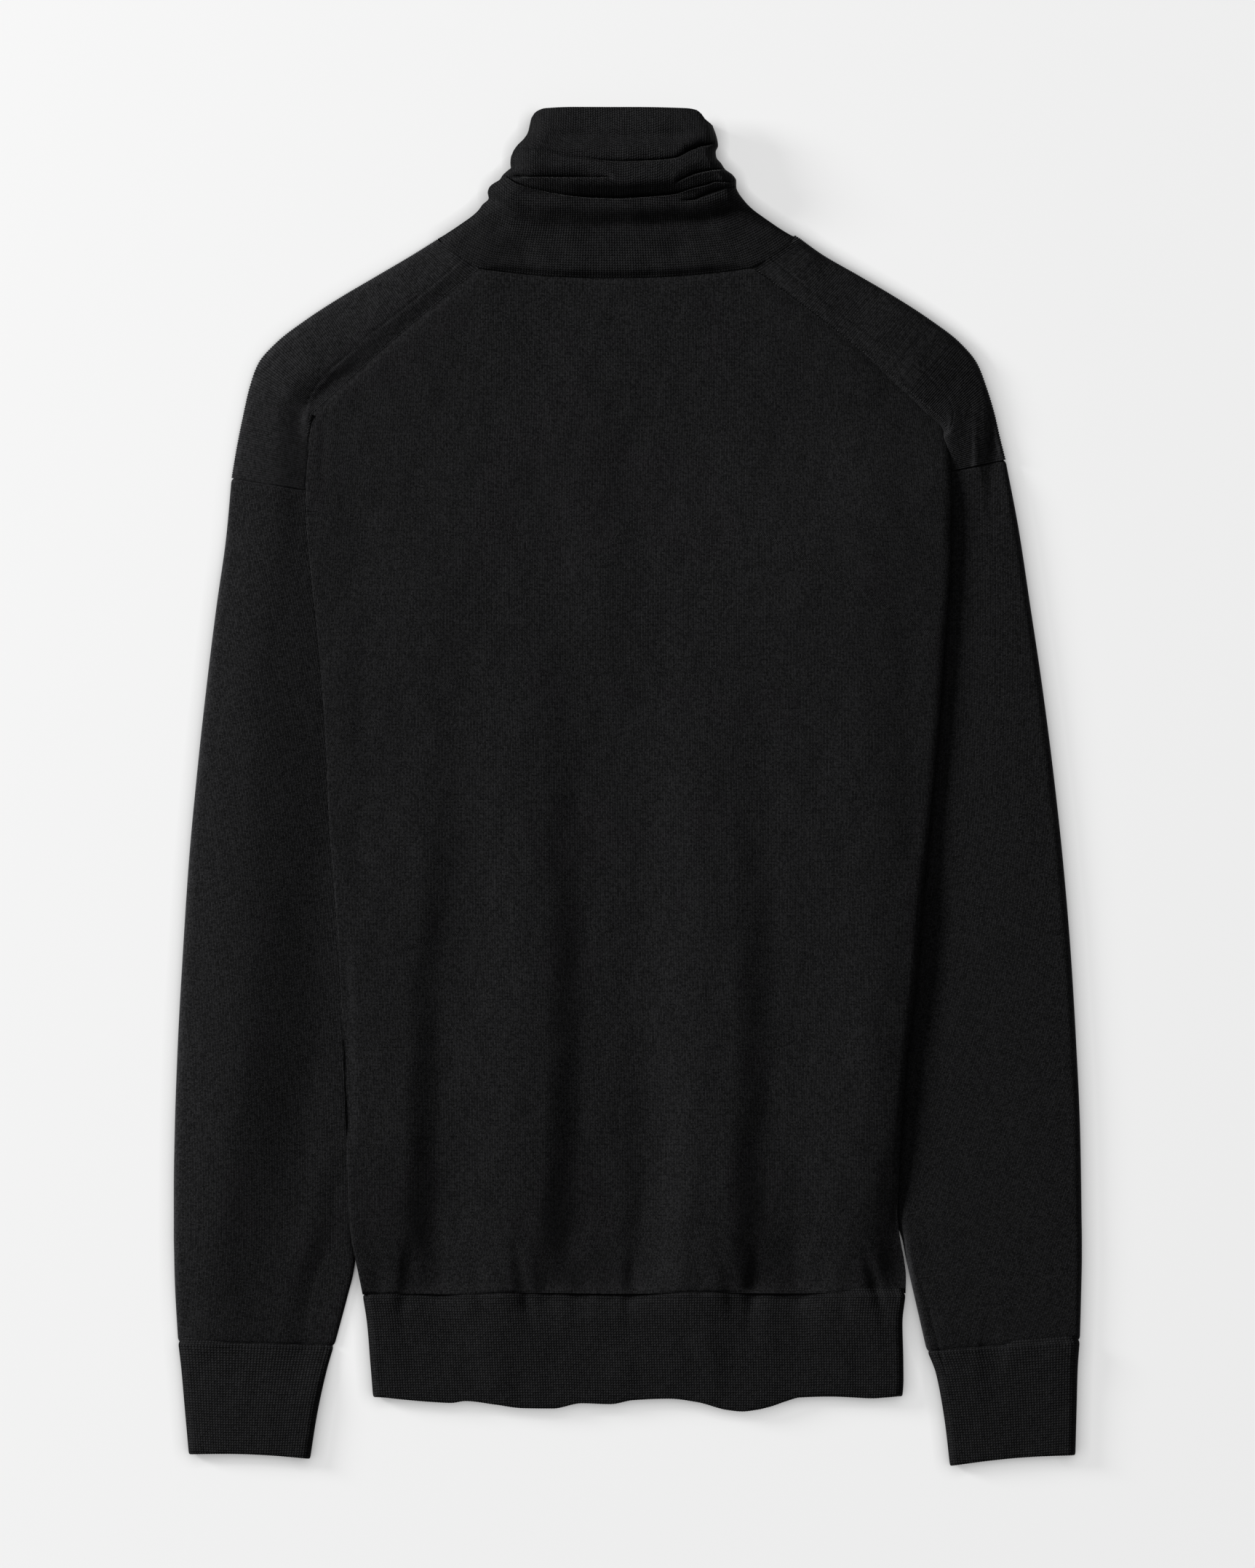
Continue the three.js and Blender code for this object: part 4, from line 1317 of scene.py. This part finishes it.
back = body_panel("back_knit", True)
front = body_panel("front_knit", False)
saddle_left = saddle("saddle_left_knit", -1, SADDLE_LEFT, SADDLE_LEFT_END_Y, LEFT_CORNER,
                     LEFT_NECK, LEFT_BULGE, SADDLE_LEFT_CROWN)
saddle_right = saddle("saddle_right_knit", 1, SADDLE_RIGHT, SADDLE_RIGHT_END_Y, RIGHT_CORNER,
                      RIGHT_NECK, RIGHT_BULGE, SADDLE_RIGHT_CROWN)
sleeve_left = sleeve("sleeve_left_knit", SLEEVE_LEFT, (4.4, 0.4), 3.0)
sleeve_right = sleeve("sleeve_right_knit", SLEEVE_RIGHT, (0.4, 0.4), 0.2)
cuff_left = cuff("cuff_left_rib", CUFF_LEFT, (2.0, 0.4))
cuff_right = cuff("cuff_right_rib", CUFF_RIGHT, (0.8, -0.6))
hem = hem_band()
neck = collar()

REPLACED = (
    (back, "back_panel"),
    (front, "front_panel"),
    (saddle_left, "saddle_left"),
    (saddle_right, "saddle_right"),
    (sleeve_left, "sleeve_left"),
    (sleeve_right, "sleeve_right"),
    (cuff_left, "cuff_left"),
    (cuff_right, "cuff_right"),
    (hem, "hem_band"),
    (neck, "collar"),
)
for piece, node in REPLACED:
    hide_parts(node)


# Surface, light and camera

def surface():
    """Pale surface that glows evenly, with a painted contact shadow where its glow is dimmed close to
    the cloth.
    """
    half = 4.0
    depth = -0.0002
    tone = 0.18
    painted_light = 0.69
    contact = 0.01
    mesh = bpy.data.meshes.new("surface")
    corners = [(x, y, depth) for x, y in ((-half, -half), (half, -half), (half, half), (-half, half))]
    mesh.from_pydata(corners, [], [(0, 1, 2, 3)])
    material = bpy.data.materials.new("pale_surface")
    n = Nodes(material)
    # Painted contact shadow: occlusion near the cloth dims the surface's glow
    near = n.add("ShaderNodeAmbientOcclusion", {"Distance": contact}, samples=8)
    n.shade({
        "Base Color": (tone, tone, tone, 1),
        "Roughness": 0.95,
        "Specular IOR Level": 0.0,
        "Emission Color": (1, 1, 1, 1),
        "Emission Strength": n.math("MULTIPLY", near.outputs["AO"], painted_light),
    })
    mesh.materials.append(material)
    floor = bpy.data.objects.new("surface", mesh)
    bpy.context.collection.objects.link(floor)


def softbox(name, azimuth, elevation, distance, width, flat_light):
    """Round soft light that gives flat_light on the surface. Azimuth is from +X towards +Y."""
    data = bpy.data.lights.new(name, "AREA")
    data.shape = "DISK"
    data.size = width
    rise = math.radians(elevation)
    turn = math.radians(azimuth)
    data.energy = flat_light * math.pi * distance ** 2 / math.sin(rise)
    lamp = bpy.data.objects.new(name, data)
    lamp.rotation_euler = (0, math.pi / 2 - rise, turn)
    reach = distance * math.cos(rise)
    lamp.location = (reach * math.cos(turn), reach * math.sin(turn), distance * math.sin(rise))
    lamp.visible_camera = False
    bpy.context.collection.objects.link(lamp)


surface()
softbox("key", 160, 19, 4.2, 1.2, 2.42)
softbox("top", 96, 42, 3.2, 2.0, 0.28)

ROOM_LIGHT = 0.19
world = bpy.data.worlds.new("studio")
world.use_nodes = True
world.node_tree.nodes["Background"].inputs[0].default_value = (1, 1, 1, 1)
world.node_tree.nodes["Background"].inputs[1].default_value = ROOM_LIGHT
bpy.context.scene.world = world
bpy.context.scene.view_settings.view_transform = "Standard"
bpy.context.scene.view_settings.look = "None"

CAMERA_X, CAMERA_Y, CAMERA_HEIGHT = -0.0002, 0.0009, 8.0
FRAME_HEIGHT = 0.9185
SENSOR = 36.0
camera_data = bpy.data.cameras.new("camera")
camera_data.sensor_fit = "VERTICAL"
camera_data.sensor_height = SENSOR
camera_data.lens = SENSOR * CAMERA_HEIGHT / FRAME_HEIGHT
camera_data.clip_end = 50
camera = bpy.data.objects.new("camera", camera_data)
camera.location = (CAMERA_X, CAMERA_Y, CAMERA_HEIGHT)
bpy.context.collection.objects.link(camera)
bpy.context.scene.camera = camera
